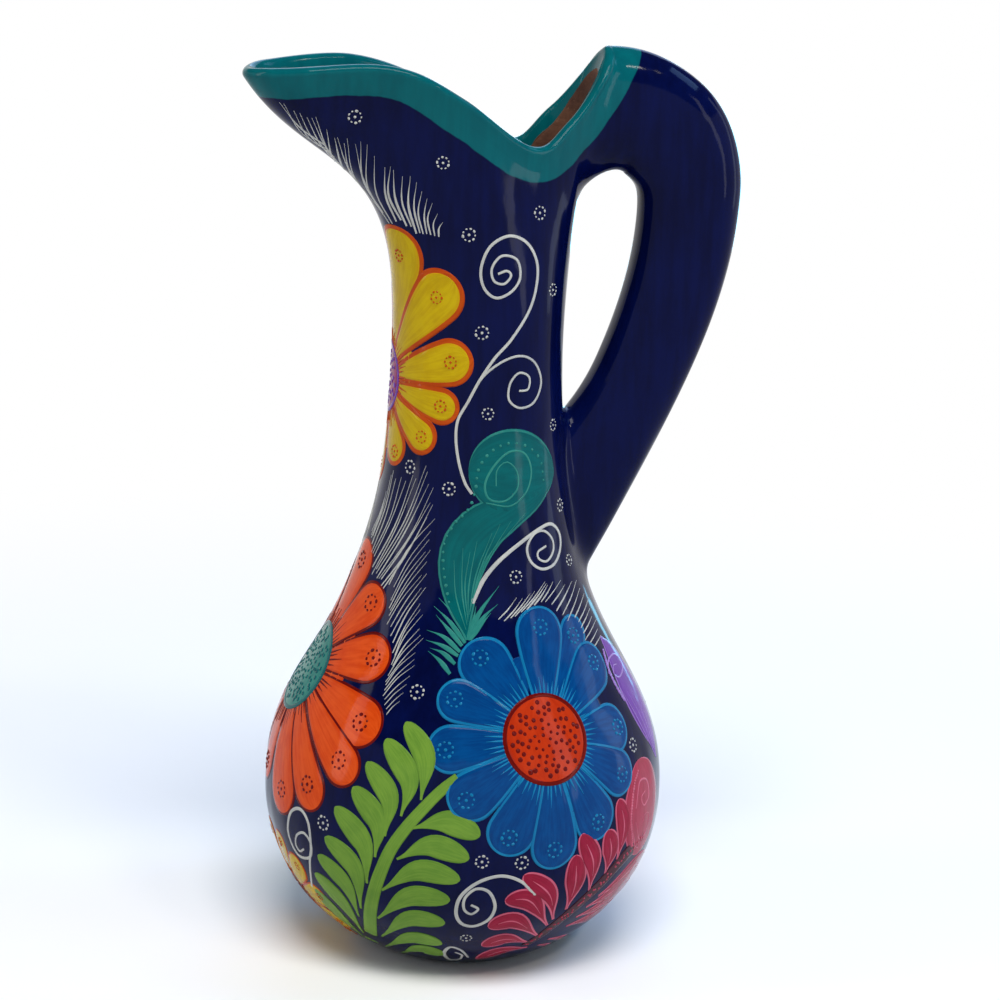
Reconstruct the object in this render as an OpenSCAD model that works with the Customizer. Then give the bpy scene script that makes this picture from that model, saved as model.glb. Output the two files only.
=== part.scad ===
// Terracotta jug with a round belly, a slender neck, a pulled spout and a deep looped handle.
// Every clay piece is formed by itself, then scored and luted to its neighbours with slip.
// Frame: origin at the centre of the foot on the table, +Z up, spout towards -X, handle towards +X.

/* [Belly] */
// Diameter of the flat foot that the jug stands on
foot_d = 80; // [66:1:96]
// Diameter of the belly at its widest ring
belly_d = 167; // [145:1:190]
// Height of the widest ring above the table
belly_z = 66; // [54:1:80]
// Thickness of the floor slab
floor_t = 9; // [7:0.5:14]
// Thickness of the belly, neck and collar walls
wall = 6; // [4:0.5:8]

/* [Neck] */
// Diameter of the neck at its waist
neck_d = 69.8; // [60:0.2:84]
// Height of the waist above the table
waist_z = 258; // [240:1:280]
// Length over which the shoulder stays full before it turns in to the neck
shoulder_pull = 63; // [45:1:80]
// Length over which the neck stays slender below its waist
neck_pull = 135.5; // [100:0.5:150]

/* [Mouth] */
// Distance from the axis to the tip of the spout
spout_reach = 98; // [80:1:115]
// Height of the spout's tip above the waist
spout_rise = 110; // [98:1:122]
// Width of the spout across its cheeks
spout_w = 48; // [40:1:56]
// Height of the spout's cheeks above the waist
cheek_rise = 113; // [102:1:124]
// Width of the mouth where it is widest
mouth_w = 58; // [52:1:66]
// Distance from the axis, towards the handle, to the lowest dip of the rim
dip_reach = 14.5; // [8:0.5:22]
// Width of the mouth at the dip
dip_w = 46; // [38:1:52]
// Height of the dip above the waist
dip_rise = 81; // [72:1:92]
// Distance from the axis to the back of the mouth, where the handle grows out
back_reach = 50.5; // [46:0.5:58]
// Height of the back of the mouth above the waist
back_rise = 120; // [110:1:130]
// Height of the lip coil that stiffens the edge of the mouth
lip_h = 12.5; // [8:0.5:16]
// Thickness of the wall at the lip
lip_t = 5; // [4:0.5:6]

/* [Handle] */
// Distance from the axis to the middle of the handle where it stands out furthest
handle_reach = 87; // [80:0.5:98]
// Height of that furthest point above the waist
bend_rise = 62; // [52:1:72]
// Depth of the handle at its root, from the top of the arch to the finger gap
root_depth = 46; // [38:1:50]
// Depth of the handle at its bend
bend_depth = 42; // [32:1:48]
// Depth of the handle where it lands on the neck
grip_depth = 38; // [28:1:44]
// Width of the handle at its root, from side to side
root_w = 22; // [18:1:26]
// Width of the handle below its bend, from side to side
handle_w = 27; // [20:1:32]
// Height of the middle of the landing above the widest ring of the belly
landing_rise = 120; // [108:1:130]
// Lean of the handle from upright where it lands
landing_lean = 28; // [22:1:34]
// Radius of the clay web under the root of the handle
web_r = 21; // [12:1:24]
// How far the web stays in from each side of the handle
web_inset = 2; // [1:0.5:5]
// Width of the clay that is pressed round the foot of the handle
lute_r = 4; // [2.5:0.5:6]

/* [Hidden] */

// Colours of the glaze, of the painted lip and of the bare clay
cobalt = [0.05, 0.05, 0.30];
turquoise = [0.02, 0.55, 0.50];
terracotta = [0.68, 0.36, 0.22];

foot_r = foot_d / 2;
belly_r = belly_d / 2;
neck_r = neck_d / 2;

// Steps along the turned profile, round the mouth and along and round the handle
profile_steps = 24;
turn_fn = 180;
mouth_steps = 72;
collar_rings = 12;
lip_rings = 3;
lip_round_steps = 6;
arch_steps = 10;
grip_steps = 12;
buried_steps = 2;
handle_sides = 28;
web_steps = 10;
halvings = 24;

// A point of a cubic curve with ends a and d and handles b and c, and its direction there
function cubic(a, b, c, d, t) =
    a * pow(1 - t, 3) + b * 3 * t * pow(1 - t, 2) + c * 3 * t * t * (1 - t) + d * pow(t, 3);
function cubic_slope(a, b, c, d, t) =
    (b - a) * 3 * pow(1 - t, 2) + (c - b) * 6 * t * (1 - t) + (d - c) * 3 * t * t;
function unit(v) = v / norm(v);
function mix(a, b, t) = a + (b - a) * t;
function smooth(t) = let(s = min(max(t, 0), 1)) s * s * (3 - 2 * s);
function centre(ring) = [for (p = ring) 1] * ring / len(ring);

// Turned profile. Place 0 is the edge of the foot, 1 the widest ring and 2 the waist.
// From 0 to 1 it is an arc of an ellipse, and from 1 to 2 one cubic curve.
foot_angle = acos(foot_r / belly_r);
belly_half_h = belly_z / sin(foot_angle);
shoulder_curve = [[belly_r, belly_z], [belly_r, belly_z + shoulder_pull],
                  [neck_r, waist_z - neck_pull], [neck_r, waist_z]];

function bowl_angle(u) = -foot_angle * (1 - u);
function outer(u) = u <= 1
    ? [belly_r * cos(bowl_angle(u)), belly_z + belly_half_h * sin(bowl_angle(u))]
    : cubic(shoulder_curve[0], shoulder_curve[1], shoulder_curve[2], shoulder_curve[3], u - 1);
function outer_slope(u) = u <= 1
    ? [-belly_r * sin(bowl_angle(u)), belly_half_h * cos(bowl_angle(u))]
    : cubic_slope(shoulder_curve[0], shoulder_curve[1], shoulder_curve[2], shoulder_curve[3], u - 1);
function outer_normal(u) = let(s = unit(outer_slope(u))) [s[1], -s[0]];
function inner(u) = outer(u) - wall * outer_normal(u);

// The place where the inner or the outer wall reaches height h, found by halving
function inner_place(h, low, high, turns = halvings) = let(mid = (low + high) / 2)
    turns == 0 ? mid : inner(mid)[1] < h ? inner_place(h, mid, high, turns - 1)
                                         : inner_place(h, low, mid, turns - 1);
function outer_place(h, low, high, turns = halvings) = let(mid = (low + high) / 2)
    turns == 0 ? mid : outer(mid)[1] < h ? outer_place(h, mid, high, turns - 1)
                                         : outer_place(h, low, mid, turns - 1);
function places(low, high) = [for (i = [0:profile_steps]) mix(low, high, i / profile_steps)];

// The floor ends where the inner wall rises from it, and the neck is luted on half way up the shoulder
floor_place = inner_place(floor_t, 0, 1);
widest_place = 1;
neck_place = 1.5;
waist_place = 2;

// A turned wall between two places, cut square to the wall at both ends
module turned_wall(low, high) {
    steps = places(low, high);
    rotate_extrude($fn = turn_fn)
        polygon(concat([for (u = steps) outer(u)],
                       [for (i = [len(steps) - 1:-1:0]) inner(steps[i])]));
}

// The turned jug from the shoulder to the waist as a filled solid, for trimming what is luted to it
module turned_fill() {
    steps = concat(places(widest_place, neck_place),
                   [for (u = places(neck_place, waist_place)) if (u > neck_place) u]);
    rotate_extrude($fn = turn_fn)
        polygon(concat([[0, belly_z]], [for (u = steps) outer(u)], [[0, waist_z]]));
}

// Crest of the rim: stations round one side of the mouth, each with its angle and its point above
// the waist. The other side mirrors them. Angle 0 is the back and 180 the tip of the spout.
corner_share = 0.88;
corner_rise_share = 0.74;
corner_w_share = 0.23;
flank_share = 0.46;
flank_rise_share = 0.28;
flank_w_share = 0.37;
widest_share = 0.16;
widest_rise_share = 0.62;
cheek_share = 0.52;
tip_share = 0.9;
tip_rise_share = 0.5;
tip_w_share = 0.31;
rim_stations = [
    [0, [back_reach, 0, back_rise]],
    [14, [mix(dip_reach, back_reach, corner_share), dip_w * corner_w_share,
          mix(dip_rise, back_rise, corner_rise_share)]],
    [30, [mix(dip_reach, back_reach, flank_share), dip_w * flank_w_share,
          mix(dip_rise, back_rise, flank_rise_share)]],
    [60, [dip_reach, dip_w / 2, dip_rise]],
    [95, [-spout_reach * widest_share, mouth_w / 2, mix(dip_rise, cheek_rise, widest_rise_share)]],
    [130, [-spout_reach * cheek_share, spout_w / 2, cheek_rise]],
    [160, [-spout_reach * tip_share, spout_w * tip_w_share, mix(spout_rise, cheek_rise, tip_rise_share)]],
    [180, [-spout_reach, 0, spout_rise]]];

function mirrored(p) = [p[0], -p[1], p[2]];
last_station = len(rim_stations) - 1;
function station(i) = i < 0 ? mirrored(rim_stations[-i][1])
    : i > last_station ? mirrored(rim_stations[2 * last_station - i][1]) : rim_stations[i][1];
function station_angle(i) = i < 0 ? -rim_stations[-i][0]
    : i > last_station ? 360 - rim_stations[2 * last_station - i][0] : rim_stations[i][0];
function station_slope(i) =
    (station(i + 1) - station(i - 1)) / (station_angle(i + 1) - station_angle(i - 1));

// A smooth curve through the stations, for an angle from 0 to 180, and then for any angle
function rim_half(angle) = let(
    passed = [for (k = [0:last_station - 1]) if (rim_stations[k][0] <= angle) k],
    i = passed[len(passed) - 1],
    span = station_angle(i + 1) - station_angle(i),
    t = (angle - station_angle(i)) / span)
    cubic(station(i), station(i) + station_slope(i) * span / 3,
          station(i + 1) - station_slope(i + 1) * span / 3, station(i + 1), t);
function rim(angle) = let(a = (angle + 360) % 360)
    (a <= 180 ? rim_half(a) : mirrored(rim_half(360 - a))) + [0, 0, waist_z];

// The collar leaves the waist upright and opens to the rim. At the rim it is nearly upright at the
// sides and tilted outwards at the spout and at the back.
// Each line up the collar is a cubic curve, whose first and last handles are shares of its rise and length.
// All three are given for the spout, the sides and the back, and blend round the mouth.
spout_form = [56, 0.76, 0.38];
side_form = [84, 0.5, 0.2];
back_form = [74, 0.6, 0.2];
function spoutness(angle) = pow(max(-cos(angle), 0), 2);
function backness(angle) = pow(max(cos(angle), 0), 2);
function form(angle) = side_form + (spout_form - side_form) * spoutness(angle)
    + (back_form - side_form) * backness(angle);
function rim_tilt(angle) = form(angle)[0];
function leave_share(angle) = form(angle)[1];
function meet_share(angle) = form(angle)[2];
function rim_outward(angle) = let(d = rim(angle + 1) - rim(angle - 1)) unit([d[1], -d[0], 0]);
function rim_up(angle) = let(tilt = rim_tilt(angle)) rim_outward(angle) * cos(tilt) + [0, 0, sin(tilt)];
function rim_normal(angle) = let(tilt = rim_tilt(angle)) rim_outward(angle) * sin(tilt) - [0, 0, cos(tilt)];

// The rounded edge has its crest on the rim, and the collar's outer face ends below it
function outer_edge(angle) = rim(angle) + (rim_normal(angle) - rim_up(angle)) * lip_t / 2;
function waist_point(angle) = [neck_r * cos(angle), neck_r * sin(angle), waist_z];
function meet_outward(angle) = let(s = spoutness(angle), b = backness(angle))
    unit(rim_outward(angle) * (1 - s - b) + [b - s, 0, 0]);
function meet_dir(angle) = let(tilt = rim_tilt(angle)) meet_outward(angle) * cos(tilt) + [0, 0, sin(tilt)];
function collar(angle, t) = let(
    low = waist_point(angle), high = outer_edge(angle), reach = norm(high - low))
    cubic(low, low + [0, 0, (high[2] - low[2]) * leave_share(angle)],
          high - meet_dir(angle) * reach * meet_share(angle), high, t);

// Directions on the collar's outer face, found from neighbouring points of it
nudge = 0.01;
function collar_along(angle, t) = unit(collar(angle, min(t + nudge, 1)) - collar(angle, max(t - nudge, 0)));
function collar_around(angle, t) = unit(collar(angle + 1, t) - collar(angle - 1, t));
function collar_normal(angle, t) = t == 0 ? [cos(angle), sin(angle), 0]
    : t == 1 ? rim_normal(angle) : unit(cross(collar_around(angle, t), collar_along(angle, t)));
function collar_inner(angle, t) = collar(angle, t) - mix(wall, lip_t, t) * collar_normal(angle, t);

// The share of each line up the collar at which the lip coil begins
function lip_start(angle) = 1 - lip_h / norm(outer_edge(angle) - waist_point(angle));
mouth_angles = [for (i = [0:mouth_steps - 1]) i * 360 / mouth_steps];
function collar_ring(share) = [for (a = mouth_angles) collar(a, lip_start(a) * share)];
function collar_inner_ring(share) = [for (a = mouth_angles) collar_inner(a, lip_start(a) * share)];
function lip_ring(share) = [for (a = mouth_angles) collar(a, mix(lip_start(a), 1, share))];
function lip_inner_ring(share) = [for (a = mouth_angles) collar_inner(a, mix(lip_start(a), 1, share))];
function lip_round_ring(turn) = [for (a = mouth_angles) rim(a)
    + lip_t / 2 * (cos(turn) * rim_normal(a) + (sin(turn) - 1) * rim_up(a))];

// Both kinds of skin go through rings of points, each ring with as many points as the next.
// Seen along the stack, each ring runs anticlockwise.
function side_faces(n, j, k) = [for (i = [0:n - 1]) let(next = (i + 1) % n)
    each [[j * n + i, k * n + next, j * n + next], [j * n + i, k * n + i, k * n + next]]];

// A closed skin whose last ring joins the first, so the rings go round the section of a hollow ring
module ring_loop(rings) {
    n = len(rings[0]);
    m = len(rings);
    polyhedron(points = [for (r = rings) each r],
               faces = [for (j = [0:m - 1]) each side_faces(n, j, (j + 1) % m)]);
}

// A closed skin with a fan over the first and the last ring
module ring_stack(rings) {
    n = len(rings[0]);
    m = len(rings);
    first = m * n;
    last = first + 1;
    ends = [for (i = [0:n - 1]) let(next = (i + 1) % n)
        each [[first, i, next], [last, (m - 1) * n + next, (m - 1) * n + i]]];
    polyhedron(points = [for (r = rings) each r, centre(rings[0]), centre(rings[m - 1])],
               faces = concat([for (j = [0:m - 2]) each side_faces(n, j, j + 1)], ends));
}

// The collar and the lip as one filled solid, for trimming the root of the handle
module mouth_fill() {
    ring_stack(concat([for (i = [0:collar_rings]) collar_ring(i / collar_rings)],
                      [for (i = [1:lip_rings]) lip_ring(i / lip_rings)],
                      [for (k = [1:lip_round_steps / 2]) lip_round_ring(k * 180 / lip_round_steps)]));
}

// Middle line of the handle in the plane of the spout and the handle. Place 0 is the root in the
// collar's back, 1 the bend and 2 the landing on the neck. From there to 3 it is buried in the neck.
root_share = 0.65;
bow_share = 0.42;
ease_share = 0.32;
lead_share = 0.46;
landing_z = belly_z + landing_rise;
landing = outer(outer_place(landing_z, widest_place, waist_place));
grip_dir = [-sin(landing_lean), -cos(landing_lean)];
root_z = waist_z + back_rise - root_depth / 2;
bend = [handle_reach, waist_z + bend_rise];

// The share of the line up the collar's back that reaches height h, and the point there
function back_share(h, low = 0, high = 1, turns = halvings) = let(mid = (low + high) / 2)
    turns == 0 ? mid : collar(0, mid)[2] < h ? back_share(h, mid, high, turns - 1)
                                             : back_share(h, low, mid, turns - 1);
function back_x(h) = collar(0, back_share(h))[0];

// The blank's first ring lies in the collar's wall, and bends round with the back of the mouth
back_round = 9;
root_bed = lip_t / 4;
function root_x(h, y) = back_x(h) - root_bed - y * y / (2 * back_round);

root = [root_x(root_z, 0), root_z];
arch = [root, root + [(bend[0] - root[0]) * root_share, 0],
        bend + [0, (root_z - bend[1]) * bow_share], bend];
grip = [bend, bend - [0, (bend[1] - landing_z) * ease_share],
        landing - grip_dir * (bend[1] - landing_z) * lead_share, landing];
buried_share = 1.2;
buried = grip_depth * buried_share;

function handle_mid(s) = s <= 1 ? cubic(arch[0], arch[1], arch[2], arch[3], s)
    : s <= 2 ? cubic(grip[0], grip[1], grip[2], grip[3], s - 1)
    : landing + grip_dir * buried * (s - 2);
function handle_dir(s) = unit(s <= 1 ? cubic_slope(arch[0], arch[1], arch[2], arch[3], s)
    : s <= 2 ? cubic_slope(grip[0], grip[1], grip[2], grip[3], s - 1) : grip_dir);
function handle_depth(s) = s <= 1 ? mix(root_depth, bend_depth, smooth(s))
                                  : mix(bend_depth, grip_depth, smooth(s - 1));

// Section of the handle: an ellipse at the root, which turns to a round-cornered oblong.
// At the root it is sheared to lie in the collar's wall.
oblong_power = 0.74;
root_ease = 0.5;
function section_power(s) = mix(1, oblong_power, smooth(s));
function rounded(v, s) = sign(v) * pow(abs(v), section_power(s));
function handle_width(s) = mix(root_w, handle_w, smooth(s));
function handle_point(s, turn, grow = 0) = let(
    p = handle_mid(s), d = handle_dir(s),
    deep = (handle_depth(s) / 2 + grow) * rounded(cos(turn), s),
    wide = -(handle_width(s) / 2 + grow) * rounded(sin(turn), s),
    square = p + [-d[1], d[0]] * deep,
    sheared = p + [root_x(root_z + deep, wide) - root[0], deep],
    q = mix(sheared, square, smooth(s / root_ease)))
    [q[0], wide, q[1]];

handle_turns = [for (i = [0:handle_sides - 1]) i * 360 / handle_sides];
handle_places = concat([for (i = [0:arch_steps]) i / arch_steps],
                       [for (i = [1:grip_steps]) 1 + i / grip_steps],
                       [for (i = [1:buried_steps]) 2 + i / buried_steps]);

// The handle before its ends are trimmed to the collar and the neck
module handle_blank() {
    ring_stack([for (s = handle_places) [for (turn = handle_turns) handle_point(s, turn)]]);
}

// The lute of the foot lies on the handle and on the neck with a little play
lute_play = 0.1;

// The place along one line of the handle, grown outwards, where it enters the neck, found by halving
entry_low = 1.2;
entry_high = 3;
function in_neck(p) =
    norm([p[0], p[1]]) < outer(outer_place(p[2], widest_place, waist_place))[0] + lute_play;
function entry(turn, grow, low = entry_low, high = entry_high, turns = halvings) =
    let(mid = (low + high) / 2)
    turns == 0 ? mid : in_neck(handle_point(mid, turn, grow)) ? entry(turn, grow, low, mid, turns - 1)
                                                              : entry(turn, grow, mid, high, turns - 1);

// Section of that lute: a corner, and a hollow curve from the handle down to the neck.
// Its height up the handle and its reach out over the neck are in lute widths.
lute_up = 1.8;
lute_out = 1.3;
lute_fill = 0.3;
lute_steps = 3;
grip_length = norm(bend - landing);
function lute_section(turn) = let(
    low = entry(turn, lute_play),
    corner = handle_point(low, turn, lute_play),
    top = handle_point(low - lute_up * lute_r / grip_length, turn, lute_play),
    toe = handle_point(entry(turn, lute_out * lute_r), turn, lute_out * lute_r),
    pull = mix(corner, (top + toe) / 2, lute_fill))
    concat([corner], [for (i = [0:lute_steps]) let(t = i / lute_steps)
        top * pow(1 - t, 2) + pull * 2 * t * (1 - t) + toe * t * t]);

// Corner under the root of the handle, where the web is
web_z = root_z - root_depth / 2 - web_r;
web_x = back_x(web_z) + web_r;

module foot_disc() {
    color(terracotta)
        rotate_extrude($fn = turn_fn)
            polygon(concat([[0, 0]], [for (u = places(0, floor_place)) outer(u)],
                           [inner(floor_place), [0, floor_t]]));
}

module lower_belly() {
    color(cobalt) turned_wall(floor_place, widest_place);
}

module upper_belly() {
    color(cobalt) turned_wall(widest_place, neck_place);
}

module neck() {
    color(cobalt) turned_wall(neck_place, waist_place);
}

module spout_collar() {
    color(cobalt)
        ring_loop(concat([for (i = [0:collar_rings]) collar_ring(i / collar_rings)],
                         [for (i = [collar_rings:-1:0]) collar_inner_ring(i / collar_rings)]));
}

module lip_coil() {
    color(turquoise)
        ring_loop(concat([for (i = [0:lip_rings]) lip_ring(i / lip_rings)],
                         [for (k = [1:lip_round_steps - 1]) lip_round_ring(k * 180 / lip_round_steps)],
                         [for (i = [lip_rings:-1:0]) lip_inner_ring(i / lip_rings)]));
}

module handle() {
    color(cobalt) difference() {
        handle_blank();
        turned_fill();
        mouth_fill();
    }
}

module handle_top_lute() {
    color(cobalt) difference() {
        rotate([90, 0, 0])
            linear_extrude(root_w - 2 * web_inset, center = true)
                polygon(concat([for (i = [0:web_steps]) let(turn = mix(90, 180, i / web_steps))
                                    [web_x, web_z] + web_r * [cos(turn), sin(turn)]],
                               [[back_x(web_z) - wall / 2, web_z],
                                [back_x(web_z) - wall / 2, web_z + web_r + wall],
                                [web_x, web_z + web_r + wall]]));
        handle_blank();
        mouth_fill();
    }
}

module handle_foot_lute() {
    sections = [for (turn = handle_turns) lute_section(turn)];
    color(cobalt)
        ring_loop([for (k = [0:lute_steps + 1]) [for (section = sections) section[k]]]);
}

foot_disc();
lower_belly();
upper_belly();
neck();
spout_collar();
lip_coil();
handle();
handle_top_lute();
handle_foot_lute();
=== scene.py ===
"""Painted terracotta jug: fired clay, glossy glaze and brushed flowers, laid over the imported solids."""

import logging
import math
import random
from collections.abc import Sequence
from dataclasses import dataclass, field
from enum import Enum

import bpy
import numpy as np
from bpy.types import Material, NodeSocket, NodeTree, Object
from mathutils import Matrix, Vector
from mathutils.bvhtree import BVHTree
from mathutils.kdtree import KDTree


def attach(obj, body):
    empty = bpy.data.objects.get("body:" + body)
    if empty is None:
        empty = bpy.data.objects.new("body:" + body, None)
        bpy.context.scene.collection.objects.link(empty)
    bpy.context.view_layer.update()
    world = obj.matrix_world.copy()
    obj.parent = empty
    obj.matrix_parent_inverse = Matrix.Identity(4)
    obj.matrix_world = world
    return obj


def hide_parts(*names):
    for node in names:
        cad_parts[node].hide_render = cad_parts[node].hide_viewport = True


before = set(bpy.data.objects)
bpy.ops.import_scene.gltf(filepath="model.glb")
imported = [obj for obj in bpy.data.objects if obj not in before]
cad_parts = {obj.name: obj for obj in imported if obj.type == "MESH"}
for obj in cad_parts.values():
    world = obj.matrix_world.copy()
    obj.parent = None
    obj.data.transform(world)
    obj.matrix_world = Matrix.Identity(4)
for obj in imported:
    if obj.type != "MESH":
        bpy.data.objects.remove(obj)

LOG = logging.getLogger("jug")
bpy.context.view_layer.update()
BODY = "root"
MM = 0.001
SEED = 7
FULL_TURN = 360.0
HALF_TURN = 180.0
QUAD = 4

Array = np.ndarray
Values = float | Array
Pair = tuple[float, float]
Pairs = Sequence[Pair]
Triple = tuple[float, float, float]
Tone = Triple


# Maths on arrays of points


def unit(vectors: Array) -> Array:
    """Vectors of length one along the same directions."""
    return vectors / np.linalg.norm(vectors, axis=-1, keepdims=True)


def mix(low: Values, high: Values, share: Values) -> Values:
    """A value part of the way from low to high."""
    return low + (high - low) * share


def smooth(share: Values) -> Values:
    """An eased share, level at 0 and at 1."""
    held = np.clip(share, 0.0, 1.0)
    return held * held * (3.0 - 2.0 * held)


def eased(value: Values, low: float, high: float) -> Values:
    """An eased share of the way of a value from low to high."""
    return smooth((value - low) / (high - low))


def cubic(a: Values, b: Values, c: Values, d: Values, t: Values) -> Values:
    """A point of a cubic curve with ends a and d and handles b and c."""
    return a * (1 - t) ** 3 + b * 3 * t * (1 - t) ** 2 + c * 3 * t * t * (1 - t) + d * t ** 3


def cubic_slope(a: Values, b: Values, c: Values, d: Values, t: Values) -> Values:
    """The direction of the same curve."""
    return (b - a) * 3 * (1 - t) ** 2 + (c - b) * 6 * t * (1 - t) + (d - c) * 3 * t * t


def flowing(points: Pairs, count: int) -> Array:
    """A smooth line through points, with evenly spaced steps.

    Args:
        points: The points that the line goes through, in a drawing's own units.
        count: How many steps the line gets.

    Returns:
        An array of count points.
    """
    fine, lean_parts = 16, 6
    p = np.asarray(points, float)
    ends = np.vstack([2 * p[0] - p[1], p, 2 * p[-1] - p[-2]])
    t = np.linspace(0, 1, fine, endpoint=False)[:, None]
    runs = []
    for k in range(1, len(ends) - 2):
        lean_a = (ends[k + 1] - ends[k - 1]) / lean_parts
        lean_b = (ends[k + 2] - ends[k]) / lean_parts
        runs.append(cubic(ends[k], ends[k] + lean_a, ends[k + 1] - lean_b, ends[k + 1], t))
    line = np.vstack(runs + [p[-1:]])
    lengths = np.concatenate([[0], np.cumsum(np.linalg.norm(np.diff(line, axis=0), axis=1))])
    steps = np.linspace(0, lengths[-1], count)
    return np.stack([np.interp(steps, lengths, line[:, k]) for k in range(p.shape[1])], axis=1)


# The clay's form


@dataclass(frozen=True)
class JugForm:
    """Sizes of the clay in millimetres, with the rules that its surfaces follow.

    A name that ends in d is a diameter, in w a width, in t a thickness, in h or z a height, in reach a
    distance from the axis, and in rise a height above the waist. The dip is the lowest place of the rim.

    Attributes:
        shoulder_pull: How far the wall goes straight up above the widest ring.
        neck_pull: How far it goes straight down below the waist.
        stops: Angles of the rim's stations on one side, in degrees from the back.
        back_turn: Shares of the reach, the width and the rise at the two stations beside the back.
        mouth_place: Shares of the reach and the rise beside the mouth's middle.
        cheek_place: Share of the reach at the cheek.
        tip_place: Shares of the reach, the width and the rise beside the tip.
        spout_form: Tilt of the lip at the spout, in degrees, and two shares that bend the collar there.
        side_form: The same at the sides.
        back_form: The same at the back.
        unevenness: How far the hand-made wall strays.
        far_lift: How far the far flank of the rim was lifted.
        near_lift: How far the near dip was lifted and the far one pressed down.
        near_cheek: How far the near cheek was lifted.
        back_lift: How far the rim was lifted beside the handle.
        swells: Angle and spread, in degrees, of the peak, the back, the flank, the dip and the cheek.
        neck_samples: Points along the neck for finding a radius.
        line_samples: Points along other lines for finding a place.
    """

    foot_d: float = 80.0
    belly_d: float = 167.0
    belly_z: float = 66.0
    floor_t: float = 9.0
    wall: float = 6.0
    neck_d: float = 69.8
    waist_z: float = 258.0
    shoulder_pull: float = 63.0
    neck_pull: float = 135.5
    spout_reach: float = 98.0
    spout_rise: float = 110.0
    spout_w: float = 48.0
    cheek_rise: float = 113.0
    mouth_w: float = 58.0
    dip_reach: float = 14.5
    dip_w: float = 46.0
    dip_rise: float = 81.0
    back_reach: float = 50.5
    back_rise: float = 120.0
    lip_h: float = 12.5
    lip_t: float = 5.0
    stops: Sequence[float] = (0.0, 14.0, 30.0, 60.0, 95.0, 130.0, 160.0, 180.0)
    back_turn: Sequence[Triple] = ((0.88, 0.23, 0.74), (0.46, 0.37, 0.28))
    mouth_place: Pair = (0.16, 0.62)
    cheek_place: float = 0.52
    tip_place: Triple = (0.9, 0.31, 0.5)
    spout_form: Triple = (56.0, 0.76, 0.38)
    side_form: Triple = (84.0, 0.5, 0.2)
    back_form: Triple = (74.0, 0.6, 0.2)
    unevenness: float = 0.22
    far_lift: float = 1.5
    near_lift: float = 1.6
    near_cheek: float = 3.0
    back_lift: float = 2.5
    swells: Pairs = ((0.0, 6.0), (13.0, 9.0), (30.0, 17.0), (60.0, 20.0), (115.0, 20.0))
    neck_samples: int = 600
    line_samples: int = 400

    def profile(self, place: Array) -> Array:
        """The turned wall's outline.

        Args:
            place: Places along it: 0 is the foot, 1 the widest ring, 2 the waist.

        Returns:
            Radius and height at each place.
        """
        belly_r = self.belly_d / 2
        neck_r = self.neck_d / 2
        foot_angle = math.acos(self.foot_d / self.belly_d)
        half_h = self.belly_z / math.sin(foot_angle)
        bowl = -foot_angle * (1 - np.minimum(place, 1))
        t = np.clip(place - 1, 0, 1)
        shoulder_r = cubic(belly_r, belly_r, neck_r, neck_r, t)
        shoulder_z = cubic(self.belly_z, self.belly_z + self.shoulder_pull,
                           self.waist_z - self.neck_pull, self.waist_z, t)
        return np.stack([np.where(place <= 1, belly_r * np.cos(bowl), shoulder_r),
                         np.where(place <= 1, self.belly_z + half_h * np.sin(bowl), shoulder_z)], axis=-1)

    def radius_at(self, height: float) -> float:
        """Outer radius of the shoulder or the neck at a height."""
        wall = self.profile(np.linspace(1, 2, self.neck_samples))
        return float(np.interp(height, wall[:, 1], wall[:, 0]))

    def stations(self) -> tuple[Array, Array]:
        """Angles and points of the rim's crest on one side, with a mirrored neighbour at each end."""
        dip, back, reach = self.dip_reach, self.back_reach, self.spout_reach
        mouth_out, mouth_up = self.mouth_place
        tip_out, tip_wide, tip_up = self.tip_place
        turn = [(mix(dip, back, out), self.dip_w * wide, mix(self.dip_rise, self.back_rise, up))
                for out, wide, up in self.back_turn]
        crest = np.array([
            (back, 0, self.back_rise), *turn, (dip, self.dip_w / 2, self.dip_rise),
            (-reach * mouth_out, self.mouth_w / 2, mix(self.dip_rise, self.cheek_rise, mouth_up)),
            (-reach * self.cheek_place, self.spout_w / 2, self.cheek_rise),
            (-reach * tip_out, self.spout_w * tip_wide, mix(self.spout_rise, self.cheek_rise, tip_up)),
            (-reach, 0, self.spout_rise)], float)
        other = np.array([1, -1, 1])
        crest = np.vstack([crest[1] * other, crest, crest[-2] * other])
        angles = [-self.stops[1], *self.stops, 2 * self.stops[-1] - self.stops[-2]]
        return np.array(angles), crest + [0, 0, self.waist_z]

    def rim(self, angles: Array) -> Array:
        """The rim's crest, with the lifts of the hand that made it.

        Args:
            angles: Angles in degrees, 0 at the back and 180 at the tip of the spout.

        Returns:
            A point for each angle.
        """
        turned = np.mod(angles, FULL_TURN)
        half = np.where(turned <= HALF_TURN, turned, FULL_TURN - turned)
        at, crest = self.stations()
        slopes = np.zeros_like(crest)
        slopes[1:-1] = (crest[2:] - crest[:-2]) / (at[2:] - at[:-2])[:, None]
        k = np.clip(np.searchsorted(at, half, side="right") - 1, 1, len(at) - 3)
        span = (at[k + 1] - at[k])[:, None]
        t = (half - at[k])[:, None] / span
        line = cubic(crest[k], crest[k] + slopes[k] * span / 3,
                     crest[k + 1] - slopes[k + 1] * span / 3, crest[k + 1], t)
        far = turned <= HALF_TURN
        line[:, 1] *= np.where(far, 1, -1)
        peak, back, flank, dip, cheek = (np.exp(-((half - place) / run) ** 2) for place, run in self.swells)
        line[:, 2] += self.back_lift * back * (1 - peak)
        line[:, 2] += np.where(far, self.far_lift * flank * (1 - peak) - self.near_lift * dip,
                               self.near_lift * dip + self.near_cheek * cheek)
        return line

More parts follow.
